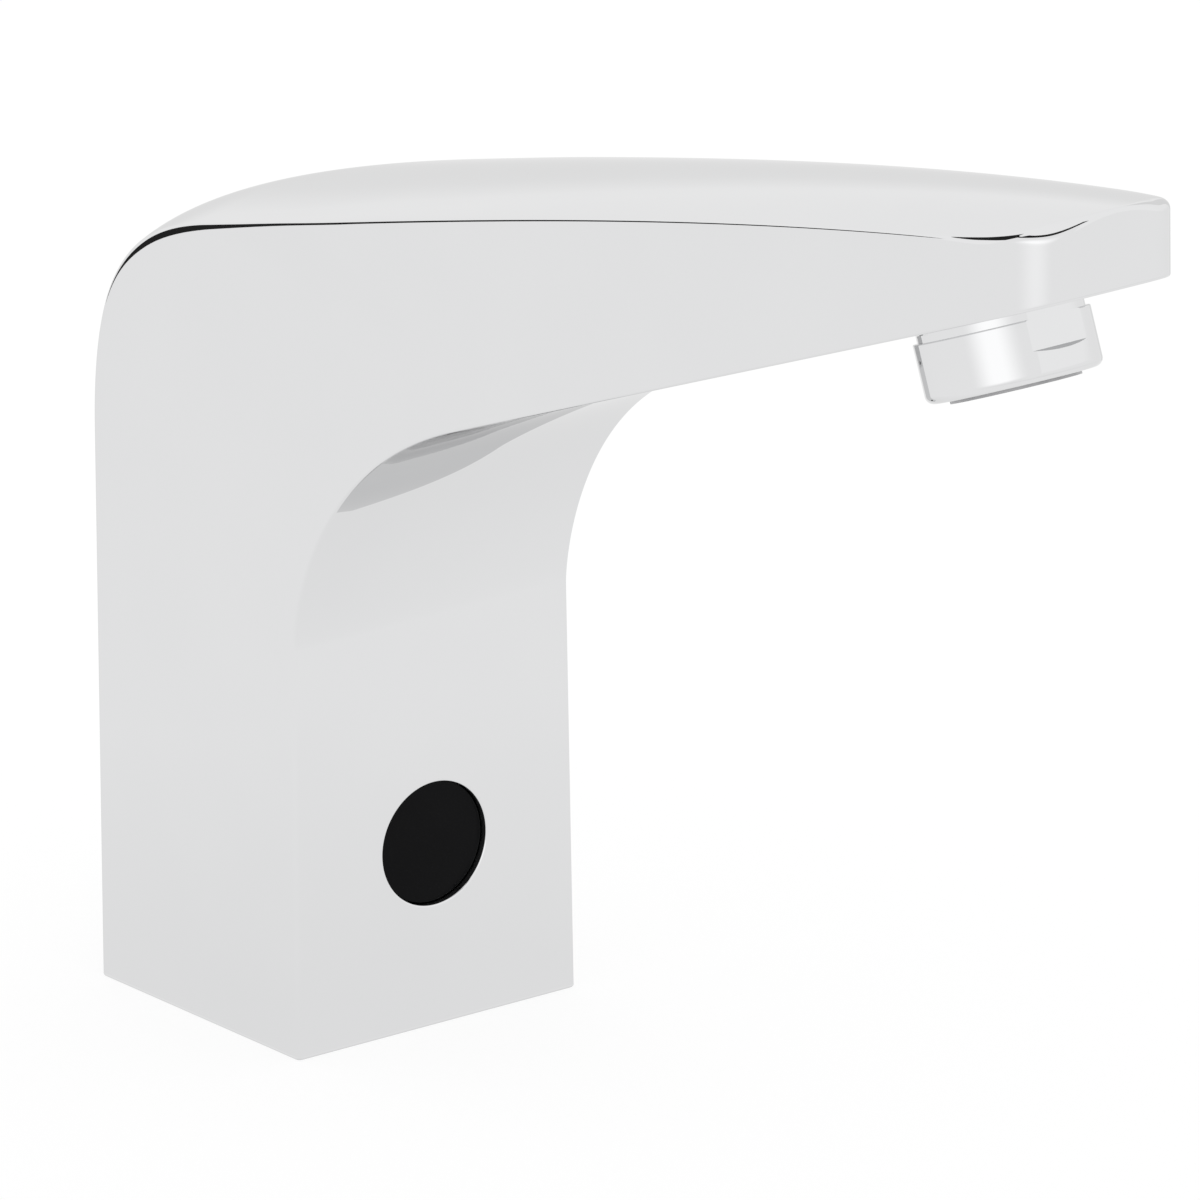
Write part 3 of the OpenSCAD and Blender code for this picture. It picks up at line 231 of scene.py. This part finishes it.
def nose_edges():
    edges = []
    for i in range(1, NOSE_STEPS + 1):
        share = i / NOSE_STEPS
        a = math.radians(90 * i / NOSE_STEPS)
        y = NOSE_Y - NOSE_LENGTH * math.sin(a) ** (2 / NOSE_POWER)
        x = half_width(y, ELBOW_Z) * max(0.0, math.cos(a)) ** (2 / NOSE_POWER)
        if i == NOSE_STEPS:
            x = 0.0
        top, low = np.array((x, y, top_z(x, y))), np.array((x, y, underside_z(y)))
        swell = nose_swell(share)
        edges.append((top, low, EDGE_R + (NOSE_R - EDGE_R) * swell,
                      EDGE_R + (NOSE_DROP - EDGE_R) * swell, EDGE_R, "nose"))
    return edges


def arc_between(start, corner, end):
    """Points of a rounded corner after its start and up to its end."""
    c1, c2 = start + (corner - start) * ARC_HANDLE, end + (corner - end) * ARC_HANDLE
    return [bezier((start, c1, c2, end), j / ARC_STEPS) for j in range(1, ARC_STEPS + 1)]


def unit(v):
    return v / max(1e-9, np.linalg.norm(v))


def edge_directions(edges, i):
    """Directions of the top and the lower edge at a ring."""
    if i == len(edges) - 1:
        return np.array((-1.0, 0.0, 0.0)), np.array((-1.0, 0.0, 0.0))
    before, after = edges[max(0, i - 1)], edges[i + 1]
    return unit(after[0] - before[0]), unit(after[1] - before[1])


def side_step(chord, direction, r):
    """Step from an edge along the side to where its rounding ends."""
    return chord * r / max(LEAST_SINE, np.linalg.norm(np.cross(chord, direction)))


def nose_span(top, low, r, low_r, direction):
    """Points over the top at a nose ring, and where its underside starts."""
    inward = unit(np.array((direction[1], -direction[0], 0.0)))
    if top[0] == 0:
        inward = np.array((0.0, 1.0, 0.0))
    elif inward[0] > 0:
        inward = -inward
    x, y = max(0.0, (top + inward * r)[0]), (top + inward * r)[1]
    tops = [np.array((x * j / TOP_STEPS, y, top_z(x * j / TOP_STEPS, y)))
            for j in range(TOP_STEPS + 1)]
    start = low + inward * low_r
    return tops, np.array((max(0.0, start[0]), start[1], underside_z(start[1])))


def body_span(top, low, r, low_r, kind):
    """Points over the back or the top at a column or spout ring, and where its front or
    underside starts."""
    w = top[0]

    def across(s):
        if kind == "column":
            return np.array((w * s, top[1] + BULGE * (1 - s * s), top[2]))
        return np.array((w * s, top[1], top_z(w * s, top[1])))

    slope = np.linalg.norm((across(1) - across(1 - EDGE_STEP)) / EDGE_STEP)
    end = 1 - r / slope
    tops = [across(end * j / TOP_STEPS) for j in range(TOP_STEPS + 1)]
    return tops, low - np.array((low_r, 0, 0))


def body_rings():
    """Right half of each ring, from the top's middle line round to the underside's."""
    edges = column_edges() + bend_edges() + spout_edges() + nose_edges()
    rings = []
    for i, (top, low, r, drop, low_r, kind) in enumerate(edges):
        top_way, low_way = edge_directions(edges, i)
        chord = unit(low - top)
        side_top = top + side_step(chord, top_way, drop)
        side_low = low + side_step(-chord, low_way, low_r)
        if kind == "nose":
            tops, start = nose_span(top, low, r, low_r, top_way)
        else:
            tops, start = body_span(top, low, r, low_r, kind)
        ring = tops + arc_between(tops[-1], top, side_top)
        ring += [side_top + (side_low - side_top) * share for share in SIDE_SHARES]
        ring.append(side_low)
        ring += arc_between(side_low, low, start)
        ring += [np.array((start[0] * (1 - j / LOW_STEPS), *start[1:]))
                 for j in range(1, LOW_STEPS + 1)]
        rings.append(ring)
    return rings


def foot_rings(first):
    """The small rounding under the first ring, down to the deck."""
    rings = []
    centre_y, depth = (FRONT_Y + EDGE_Y) / 2, (EDGE_Y - FRONT_Y) / 2
    w = half_width(EDGE_Y, 0)
    for angle in FOOT_ANGLES:
        a = math.radians(angle)
        inset, z = FOOT_R * (1 - math.cos(a)), FOOT_R * (1 - math.sin(a))
        rings.append([np.array((p[0] * (1 - inset / w),
                                centre_y + (p[1] - centre_y) * (1 - inset / depth), z))
                      for p in first])
    return rings


def mesh_object(name, verts, faces, material):
    mesh = bpy.data.meshes.new(name)
    mesh.from_pydata([tuple(v) for v in verts], [], faces)
    mesh.update()
    obj = bpy.data.objects.new(name, mesh)
    bpy.context.scene.collection.objects.link(obj)
    mesh.materials.append(material)
    return obj


def shade(obj, angle=30):
    for p in obj.data.polygons:
        p.use_smooth = True
    obj.data.set_sharp_from_angle(angle=math.radians(angle))


def weld(obj, distance, dissolve=False):
    """Join points that coincide and turn all the faces outwards."""
    bm = bmesh.new()
    bm.from_mesh(obj.data)
    bmesh.ops.remove_doubles(bm, verts=bm.verts, dist=distance)
    if dissolve:
        bmesh.ops.dissolve_degenerate(bm, dist=distance, edges=bm.edges)
    bmesh.ops.recalc_face_normals(bm, faces=bm.faces)
    bm.to_mesh(obj.data)
    bm.free()


def cylinder_cutter(r, depth, place, segments=96):
    bm = bmesh.new()
    bmesh.ops.create_cone(bm, cap_ends=True, segments=segments, radius1=r, radius2=r,
                          depth=depth)
    bmesh.ops.transform(bm, matrix=place, verts=bm.verts)
    return bm


def prism_cutter(outline, step):
    """Prism from an outline of points in metres, drawn out by a step."""
    bm = bmesh.new()
    face = bm.faces.new([bm.verts.new(p) for p in outline])
    made = bmesh.ops.extrude_face_region(bm, geom=[face])
    moved = [v for v in made["geom"] if isinstance(v, bmesh.types.BMVert)]
    bmesh.ops.translate(bm, vec=step, verts=moved)
    bmesh.ops.recalc_face_normals(bm, faces=bm.faces)
    return bm


def at_aerator():
    return Matrix.Translation(AERATOR * MM) @ Matrix.Rotation(math.pi - TILT, 4, "X")


def at_window():
    centre = Vector((0, FRONT_Y, WINDOW_Z))
    return Matrix.Translation(centre * MM) @ Matrix.Rotation(math.pi / 2, 4, "X")


def body_shell(material):
    half = body_rings()
    half = foot_rings(half[0]) + half
    verts, faces = [], []
    for ring in half:
        full = [np.array((-p[0], p[1], p[2])) for p in reversed(ring[1:-1])]
        verts += [p * MM for p in ring + full]
    count = 2 * len(half[0]) - 2
    for i in range(len(half) - 1):
        for j in range(count):
            a, b = i * count + j, i * count + (j + 1) % count
            faces.append((a, a + count, b + count, b))
    faces.append(tuple(range(count)))
    obj = mesh_object("body_shell_look", verts, faces, material)
    weld(obj, BODY_WELD)
    cut_hollows(obj)
    shade(obj, 28)
    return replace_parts(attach(obj, "tap_body"), "body_shell")


def foot_hollow():
    """Cutter for the column's inside, from its outline in the base plate's plane."""
    half_w, front, edge = BODY_W / 2 - WALL - DRAFT * ROUND_START_Z, FRONT_Y + WALL, EDGE_Y - WALL
    outline = [(-half_w, front), (half_w, front)]
    outline += [(half_w * s, edge + BULGE * (1 - s * s)) for s in np.linspace(1, -1, 41)]
    return prism_cutter([(x * MM, y * MM, -OVER * MM) for x, y in outline],
                        (0, 0, HOLLOW_HEIGHT * MM))


def cut_hollows(obj):
    bore = at_aerator() @ Matrix.Translation((0, 0, BORE_CENTRE * MM))
    cut_with(obj, [foot_hollow(),
                   cylinder_cutter((WINDOW_R + RIM_W) * MM, RECESS_DEPTH * MM, at_window(), 128),
                   cylinder_cutter(BORE_R * MM, BORE_DEPTH * MM, bore)])


def cut_with(obj, cutters):
    for bm in cutters:
        mesh = bpy.data.meshes.new("cutter")
        bm.to_mesh(mesh)
        bm.free()
        cutter = bpy.data.objects.new("cutter", mesh)
        bpy.context.scene.collection.objects.link(cutter)
        cut = obj.modifiers.new("cut", "BOOLEAN")
        cut.operation, cut.solver, cut.object = "DIFFERENCE", "EXACT", cutter
        bpy.context.view_layer.objects.active = obj
        obj.select_set(True)
        bpy.ops.object.modifier_apply(modifier="cut")
        bpy.data.objects.remove(cutter)


def turned(name, profile, material, place, segments):
    """Solid of revolution about local Z from (radius, height) points, in millimetres."""
    verts, faces = [], []
    n = len(profile)
    for k in range(segments):
        a = 2 * math.pi * k / segments
        for r, z in profile:
            verts.append(place @ Vector((r * math.cos(a) * MM, r * math.sin(a) * MM, z * MM)))
    for k in range(segments):
        k2 = (k + 1) % segments
        for j in range(n):
            j2 = (j + 1) % n
            faces.append((k * n + j, k2 * n + j, k2 * n + j2, k * n + j2))
    obj = mesh_object(name, verts, faces, material)
    weld(obj, TURNED_WELD, dissolve=True)
    return obj


def quarter(centre, r, start, end, steps=8):
    """Arc points about a centre, angles in degrees from the +radius direction."""
    return [(centre[0] + r * math.cos(math.radians(a)), centre[1] + r * math.sin(math.radians(a)))
            for a in np.linspace(start, end, steps + 1)]


def window_parts(chrome, glass):
    """The chrome lip of the window's recess and the window, in it with a small clearance."""
    lip_r, lip_back = 0.3, -3.1
    lip = [(WINDOW_R + RIM_W, 0)] + quarter((WINDOW_R + lip_r, -lip_r), lip_r, 90, 180)
    lip += [(WINDOW_R, lip_back), (WINDOW_R + RIM_W, lip_back)]
    rim = turned("window_rim", lip, chrome, at_window(), 192)
    shade(rim, 35)
    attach(rim, "tap_body")
    clearance, front, back, edge_r, bevel_w = 0.12, -1.2, -2.8, 0.2, 0.25
    r = WINDOW_R - clearance
    disc = [(0, front), (r - bevel_w, front)]
    disc += quarter((r - edge_r, front - edge_r), edge_r, 80, 0, 4)
    disc += [(r, back), (0, back)]
    lens = turned("sensor_window_look", disc, glass, at_window(), 192)
    shade(lens, 35)
    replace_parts(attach(lens, "tap_body"), "sensor_window")


def skirt_profile():
    """Half section of the aerator's housing, heights down from the spout's underside."""
    drop, length, r, inner_r = 1.4, 8.9, 13.0, 9.71
    rim_r, lip_r, shoulder_r, thread_edge_r = 1.3, 0.3, 0.2, 0.5
    seat_depth, bore_r, thread_top = 1.6, 10.46, -6
    thread_r, collar_r, collar_z = 11.94, 12.3, 0.3
    end = drop + length
    rim = quarter((r - rim_r, end - rim_r), rim_r, 0, 90, 10)
    lip = quarter((inner_r + lip_r, end - lip_r), lip_r, 90, 180, 4)
    inside = [(inner_r, end - seat_depth), (bore_r, end - seat_depth), (bore_r, thread_top)]
    thread = quarter((thread_r - thread_edge_r, thread_top + thread_edge_r), thread_edge_r,
                     270, 360, 3)
    collar = [(thread_r, collar_z), (collar_r, collar_z), (collar_r, drop)]
    shoulder = quarter((r - shoulder_r, drop + shoulder_r), shoulder_r, 270, 360, 3)
    return inside + thread + collar + shoulder + rim + lip


def flats_cutter():
    """Cutters for the two spanner flats, with a ramp at their lower end."""
    half, depth, start, bottom = 12.0, 1.0, 0.9, 6.4
    reach, half_length = 14, 13.5
    profile = [(half, start), (reach, start), (reach, bottom), (half + depth, bottom),
               (half, bottom - depth / 2)]
    turn = at_aerator() @ Matrix.Rotation(math.radians(FLATS_TURN), 4, "Z")
    cutters = []
    for side in (1, -1):
        bm = prism_cutter([(-half_length * MM, side * y * MM, z * MM) for y, z in profile],
                          (2 * half_length * MM, 0, 0))
        bmesh.ops.transform(bm, matrix=turn, verts=bm.verts)
        cutters.append(bm)
    return cutters


def aerator_parts(chrome):
    cap = turned("aerator_housing_look", skirt_profile(), chrome, at_aerator(), 240)
    cut_with(cap, flats_cutter())
    shade(cap, 12)
    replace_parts(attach(cap, "aerator_cap"), "aerator_housing")


def principled(name, rough, metallic=0.0, specular=0.5):
    m = bpy.data.materials.new(name)
    m.use_nodes = True
    b = m.node_tree.nodes["Principled BSDF"]
    b.inputs["Roughness"].default_value = rough
    b.inputs["Metallic"].default_value = metallic
    b.inputs["Specular IOR Level"].default_value = specular
    return m


def pattern(m, kind, scale, stretch=(1, 1, 1), detail=4.0):
    """A noise or wave texture fixed to the piece; scale is in repeats for each metre."""
    nodes, links = m.node_tree.nodes, m.node_tree.links
    place = nodes.new("ShaderNodeTexCoord")
    fit = nodes.new("ShaderNodeMapping")
    fit.inputs["Scale"].default_value = stretch
    tex = nodes.new("ShaderNodeTexNoise" if kind == "noise" else "ShaderNodeTexWave")
    tex.inputs["Scale"].default_value = scale
    tex.inputs["Detail"].default_value = detail
    links.new(place.outputs["Object"], fit.inputs[0])
    links.new(fit.outputs[0], tex.inputs["Vector"])
    if kind == "rings":
        tex.wave_type, tex.rings_direction = "RINGS", "Z"
    elif kind == "layers":
        tex.wave_type, tex.bands_direction = "BANDS", "Z"
    return tex.outputs[0] if kind == "noise" else tex.outputs["Fac"]


def shade_of(m, source, dark, pale):
    """Colour between two shades, by a pattern."""
    nodes, links = m.node_tree.nodes, m.node_tree.links
    ramp = nodes.new("ShaderNodeValToRGB")
    for element, where, colour in zip(ramp.color_ramp.elements, PATTERN_RANGE, (dark, pale)):
        element.position = where
        element.color = (*colour, 1)
    links.new(source, ramp.inputs[0])
    links.new(ramp.outputs[0], nodes["Principled BSDF"].inputs["Base Color"])


def set_range(fit, source_range, result_range):
    fit.inputs["From Min"].default_value, fit.inputs["From Max"].default_value = source_range
    fit.inputs["To Min"].default_value, fit.inputs["To Max"].default_value = result_range


def rough_by(m, source, low, high):
    """Roughness between two values, by a pattern."""
    nodes, links = m.node_tree.nodes, m.node_tree.links
    fit = nodes.new("ShaderNodeMapRange")
    set_range(fit, PATTERN_RANGE, (low, high))
    links.new(source, fit.inputs["Value"])
    links.new(fit.outputs[0], nodes["Principled BSDF"].inputs["Roughness"])


def bump_by(m, source, height):
    """Relief of the given height in millimetres."""
    nodes, links = m.node_tree.nodes, m.node_tree.links
    bump = nodes.new("ShaderNodeBump")
    bump.inputs["Strength"].default_value = 1.0
    bump.inputs["Distance"].default_value = height * MM
    links.new(source, bump.inputs["Height"])
    links.new(bump.outputs[0], nodes["Principled BSDF"].inputs["Normal"])


def tinted(colour, share):
    return tuple(min(1.0, c * share) for c in colour)


def chrome_material():
    """Mirror-polished plating: faint cloudiness in the polish, no visible relief."""
    m = principled("polished chrome", 0.02, 1.0)
    cloud = pattern(m, "noise", 45, detail=5.0)
    shade_of(m, cloud, (0.742, 0.744, 0.75), (0.75, 0.752, 0.757))
    rough_by(m, cloud, 0.012, 0.03)
    m.node_tree.nodes["Principled BSDF"].inputs["Specular Tint"].default_value = (0.9, 0.9, 0.9, 1)
    return m


def metal(name, colour, low, high, kind="noise", scale=900, stretch=(1, 1, 1), relief=0.004):
    """Bare metal with the marks of its making."""
    m = principled(name, low, 1.0)
    marks = pattern(m, kind, scale, stretch)
    shade_of(m, pattern(m, "noise", 120), tinted(colour, 0.86), tinted(colour, 1.06))
    rough_by(m, marks, low, high)
    bump_by(m, marks, relief)
    return m


def moulded(name, colour, low, high, grain=2600, relief=0.006, specular=0.5):
    """Moulded plastic or rubber: fine grain, slightly uneven sheen."""
    m = principled(name, low, 0.0, specular)
    shade_of(m, pattern(m, "noise", 150), tinted(colour, 0.85), tinted(colour, 1.1))
    rough_by(m, pattern(m, "noise", 400), low, high)
    bump_by(m, pattern(m, "noise", grain), relief)
    return m


def winding():
    """Enamelled copper wire wound in even turns."""
    return metal("copper wire", (0.65, 0.26, 0.12), 0.25, 0.4, "layers", 800, relief=0.08)


def board():
    """Green solder mask over the weave of the laminate."""
    m = principled("green board", 0.3)
    shade_of(m, pattern(m, "noise", 350), (0.012, 0.11, 0.045), (0.025, 0.18, 0.08))
    rough_by(m, pattern(m, "noise", 200), 0.25, 0.42)
    bump_by(m, pattern(m, "layers", 1200, detail=1.0), 0.01)
    return m


def window_glass():
    """Dark infrared window: near black, lightly glossy, with faint wipe marks."""
    m = principled("dark window", 0.08, specular=0.06)
    shade_of(m, pattern(m, "noise", 90), (0.0035, 0.0035, 0.004), (0.0045, 0.0045, 0.005))
    rough_by(m, pattern(m, "noise", 160, (1, 1, 3)), 0.06, 0.14)
    return m


def cad_finishes(chrome):
    """A procedural finish for each material slot that CAD nodes carry."""
    brushed = (1, 1, 12)
    looks = {
        "polished_chrome": chrome,
        "plain_steel": metal("plain steel", (0.55, 0.56, 0.58), 0.24, 0.38, stretch=brushed),
        "bare_brass": metal("bare brass", (0.72, 0.55, 0.27), 0.2, 0.36, "rings", 1500),
        "black_rubber": moulded("black rubber", (0.02, 0.02, 0.021), 0.6, 0.8, 1800, 0.01),
        "black_plastic": moulded("black plastic", (0.02, 0.02, 0.022), 0.36, 0.5),
        "grey_plastic": moulded("grey plastic", (0.55, 0.55, 0.56), 0.35, 0.5),
        "white_plastic": moulded("white plastic", (0.78, 0.78, 0.74), 0.38, 0.52),
        "magnetic_steel": metal("magnetic steel", (0.42, 0.43, 0.45), 0.3, 0.42, "rings", 1200),
        "copper_wire": winding(),
        "green_board": board(),
        "dark_window": window_glass(),
        "dark_eye": moulded("dark eye", (0.01, 0.006, 0.02), 0.06, 0.12, 500, 0.001),
    }
    for sub in frame["record"]["subparts"]:
        obj = frame["nodes"][sub["node"]]
        obj.data.materials.clear()
        obj.data.materials.append(looks[sub["material_slot"]])
        shade(obj, 30)
    return looks


def emitter(name, strength):
    m = bpy.data.materials.new(name)
    m.use_nodes = True
    nodes = m.node_tree.nodes
    nodes.clear()
    out = nodes.new("ShaderNodeOutputMaterial")
    glow = nodes.new("ShaderNodeEmission")
    glow.inputs["Color"].default_value = (1, 1, 1, 1)
    glow.inputs["Strength"].default_value = strength
    m.node_tree.links.new(glow.outputs[0], out.inputs[0])
    return m


def fade(m, spot, distances, levels, curve="LINEAR"):
    """Emission that goes from one level to another between two distances from a spot, in
    metres."""
    nodes, links = m.node_tree.nodes, m.node_tree.links
    place = nodes.new("ShaderNodeTexCoord")
    away = nodes.new("ShaderNodeVectorMath")
    away.operation = "DISTANCE"
    away.inputs[1].default_value = spot
    ramp = nodes.new("ShaderNodeMapRange")
    ramp.interpolation_type = curve
    set_range(ramp, distances, levels)
    links.new(place.outputs["Object"], away.inputs[0])
    links.new(away.outputs["Value"], ramp.inputs["Value"])
    links.new(ramp.outputs[0], nodes["Emission"].inputs["Strength"])


def reflected_only(obj):
    obj.visible_camera = False
    obj.visible_shadow = False
    obj.visible_diffuse = False
    obj.visible_transmission = False
    return obj


def seen_from_tap(azimuth, elevation, distance):
    """Point at a distance from the studio's centre, in metres. Azimuths go in degrees from -Y
    towards -X."""
    a, e = math.radians(azimuth), math.radians(elevation)
    way = Vector((-math.sin(a) * math.cos(e), -math.cos(a) * math.cos(e), math.sin(e)))
    return (STUDIO_CENTRE + way * distance) * MM


def flag(name, azimuths, elevations, strength, distance=FLAG_DISTANCE):
    """A far curved card of the studio's backdrop that only reflections see."""
    verts = [seen_from_tap(a, e, distance)
             for e in np.linspace(*elevations, FLAG_ROWS + 1)
             for a in np.linspace(*azimuths, FLAG_COLUMNS + 1)]
    faces = []
    for j in range(FLAG_ROWS):
        for i in range(FLAG_COLUMNS):
            k = j * (FLAG_COLUMNS + 1) + i
            faces.append((k, k + 1, k + FLAG_COLUMNS + 2, k + FLAG_COLUMNS + 1))
    return reflected_only(mesh_object(name, verts, faces, emitter(name, strength)))


def floor_glow_painted_shade():
    """What the chrome sees of the floor near the tap: a white glowing disc, with painted shade
    that darkens it close to the tap in place of the tap's shadow.
    """
    radius, centre_y, height, corners = 0.3, -0.02, 0.0006, 48
    verts = [(radius * math.sin(a), centre_y + radius * math.cos(a), height)
             for a in np.linspace(0, 2 * math.pi, corners + 1)[:-1]]
    m = emitter("floor_glow_painted_shade", 1.0)
    # Painted shadow: the glow dims to 0.95 within 4 cm of the tap and returns to full at 16 cm.
    fade(m, (0, centre_y, 0), (0.04, 0.16), (0.95, 1.0))
    reflected_only(mesh_object("floor_glow_painted_shade", verts, [tuple(range(corners))], m))


def soft_light():
    """A far soft light in front, fading out towards its edge."""
    obj = flag("soft_light", (0, 110), (-30, 62), 1.0, SOFT_DISTANCE)
    fade(obj.data.materials[0], seen_from_tap(52, 8, SOFT_DISTANCE), (0.25, 1.75), (1.3, 1.0),
         "SMOOTHSTEP")


def floor():
    """Pale floor. The camera sees it mostly plain white, with the shadow on a fifth of it."""
    half, diffuse_share, glow_share = 6.0, 0.235, 0.81
    m = bpy.data.materials.new("pale floor")
    m.use_nodes = True
    nodes, links = m.node_tree.nodes, m.node_tree.links
    plain = nodes["Principled BSDF"]
    plain.inputs["Base Color"].default_value = (0.8, 0.8, 0.8, 1)
    plain.inputs["Roughness"].default_value = 0.9
    plain.inputs["Specular IOR Level"].default_value = 0.0
    shaded = nodes.new("ShaderNodeBsdfDiffuse")
    shaded.inputs["Color"].default_value = (diffuse_share, diffuse_share, diffuse_share, 1)
    glow = nodes.new("ShaderNodeEmission")
    glow.inputs["Strength"].default_value = glow_share
    seen = nodes.new("ShaderNodeAddShader")
    links.new(shaded.outputs[0], seen.inputs[0])
    links.new(glow.outputs[0], seen.inputs[1])
    path = nodes.new("ShaderNodeLightPath")
    mix = choose(m.node_tree, path.outputs["Is Camera Ray"], plain, seen)
    links.new(mix.outputs[0], nodes["Material Output"].inputs[0])
    verts = [(-half, -half, 0), (half, -half, 0), (half, half, 0), (-half, half, 0)]
    obj = mesh_object("floor", verts, [(0, 1, 2, 3)], m)
    obj.visible_glossy = False


def choose(tree, switch, other, chosen):
    """Shader that is the chosen one where the switch is 1."""
    mix = tree.nodes.new("ShaderNodeMixShader")
    tree.links.new(switch, mix.inputs[0])
    tree.links.new(other.outputs[0], mix.inputs[1])
    tree.links.new(chosen.outputs[0], mix.inputs[2])
    return mix


def sky_levels(tree, place):
    """Brightness of the backdrop by height: duller low down, a little brighter above."""
    nodes, links = tree.nodes, tree.links
    split = nodes.new("ShaderNodeSeparateXYZ")
    half = nodes.new("ShaderNodeMath")
    half.operation = "MULTIPLY_ADD"
    half.inputs[1].default_value = 0.5
    half.inputs[2].default_value = 0.5
    ramp = nodes.new("ShaderNodeValToRGB")
    levels = [(0.0, 0.84), (0.12, 0.91), (0.33, 1.0), (0.48, 1.0), (0.54, 1.05), (1.0, 1.05)]
    while len(ramp.color_ramp.elements) < len(levels):
        ramp.color_ramp.elements.new(0.5)
    for element, (where, level) in zip(ramp.color_ramp.elements, levels):
        element.position = where
        element.color = (level, level, level, 1)
    links.new(place.outputs["Generated"], split.inputs[0])
    links.new(split.outputs["Z"], half.inputs[0])
    links.new(half.outputs[0], ramp.inputs[0])
    return ramp.outputs[0]


def dull_patch(tree, place):
    """A duller backdrop behind the tap, which the silhouettes of its top and nose see."""
    nodes, links = tree.nodes, tree.links
    behind = nodes.new("ShaderNodeVectorMath")
    behind.operation = "DOT_PRODUCT"
    behind.inputs[1].default_value = (0.573, 0.755, -0.32)
    dull = nodes.new("ShaderNodeMapRange")
    set_range(dull, (0.93, 0.99), (1.0, 0.84))
    links.new(place.outputs["Generated"], behind.inputs[0])
    links.new(behind.outputs["Value"], dull.inputs["Value"])
    return dull.outputs[0]


def world():
    """Soft light from all round. Reflections see the backdrop's levels, the camera white."""
    w = bpy.data.worlds.new("studio")
    bpy.context.scene.world = w
    w.use_nodes = True
    tree = w.node_tree
    soft = tree.nodes["Background"]
    soft.inputs["Color"].default_value = (1, 1, 1, 1)
    soft.inputs["Strength"].default_value = 0.85
    white = tree.nodes.new("ShaderNodeBackground")
    white.inputs["Color"].default_value = (1, 1, 1, 1)
    tent = tree.nodes.new("ShaderNodeBackground")
    place = tree.nodes.new("ShaderNodeTexCoord")
    tree.links.new(sky_levels(tree, place), tent.inputs["Color"])
    tree.links.new(dull_patch(tree, place), tent.inputs["Strength"])
    path = tree.nodes.new("ShaderNodeLightPath")
    mirror = choose(tree, path.outputs["Is Glossy Ray"], soft, tent)
    mix = choose(tree, path.outputs["Is Camera Ray"], mirror, white)
    tree.links.new(mix.outputs[0], tree.nodes["World Output"].inputs[0])


def studio():
    world()
    floor()
    floor_glow_painted_shade()
    flag("back_flag", (138, 172), (-12.5, 20), DARK)
    flag("top_flag", (-20, 118), (56, 72), DARK)
    flag("top_flag_side", (118, 175), (38, 62), DARK)
    soft_light()
    flag("far_strip", (-132, -118), (-30, 30), 0.88)


def camera():
    """Camera fitted to the photo's outlines: a long lens three metres away."""
    azimuth, elevation, roll = map(math.radians, (37.19, 18.68, -0.76))
    distance, scale, grow = 3000.0, 6.974, 1.04
    target, shift_u, shift_v, shift_y = Vector((0, 0, 70)), -38.26, 11.68, -4.6
    back = Vector((-math.sin(azimuth) * math.cos(elevation),
                   -math.cos(azimuth) * math.cos(elevation), math.sin(elevation)))
    right = Vector((math.cos(azimuth), -math.sin(azimuth), 0))
    up = back.cross(right)
    centre = target - shift_u * right - shift_v * up
    place = (centre + back * distance) * grow + Vector((0, shift_y, 0))
    cam_right = right * math.cos(roll) + up * math.sin(roll)
    cam_up = up * math.cos(roll) - right * math.sin(roll)
    rotation = Matrix((cam_right, cam_up, back)).transposed()
    data = bpy.data.cameras.new("camera")
    data.sensor_width = SENSOR_W
    data.lens = scale * distance / PHOTO_SIZE * SENSOR_W
    data.clip_start, data.clip_end = 0.1, 20
    obj = bpy.data.objects.new("camera", data)
    obj.matrix_world = Matrix.Translation(place * MM) @ rotation.to_4x4()
    bpy.context.scene.collection.objects.link(obj)
    bpy.context.scene.camera = obj


bpy.context.scene.view_settings.view_transform = "Standard"
bpy.context.scene.cycles.glossy_bounces = 10
chrome = chrome_material()
looks = cad_finishes(chrome)
body_shell(chrome)
window_parts(chrome, looks["dark_window"])
aerator_parts(chrome)
studio()
camera()

bpy.context.view_layer.update()
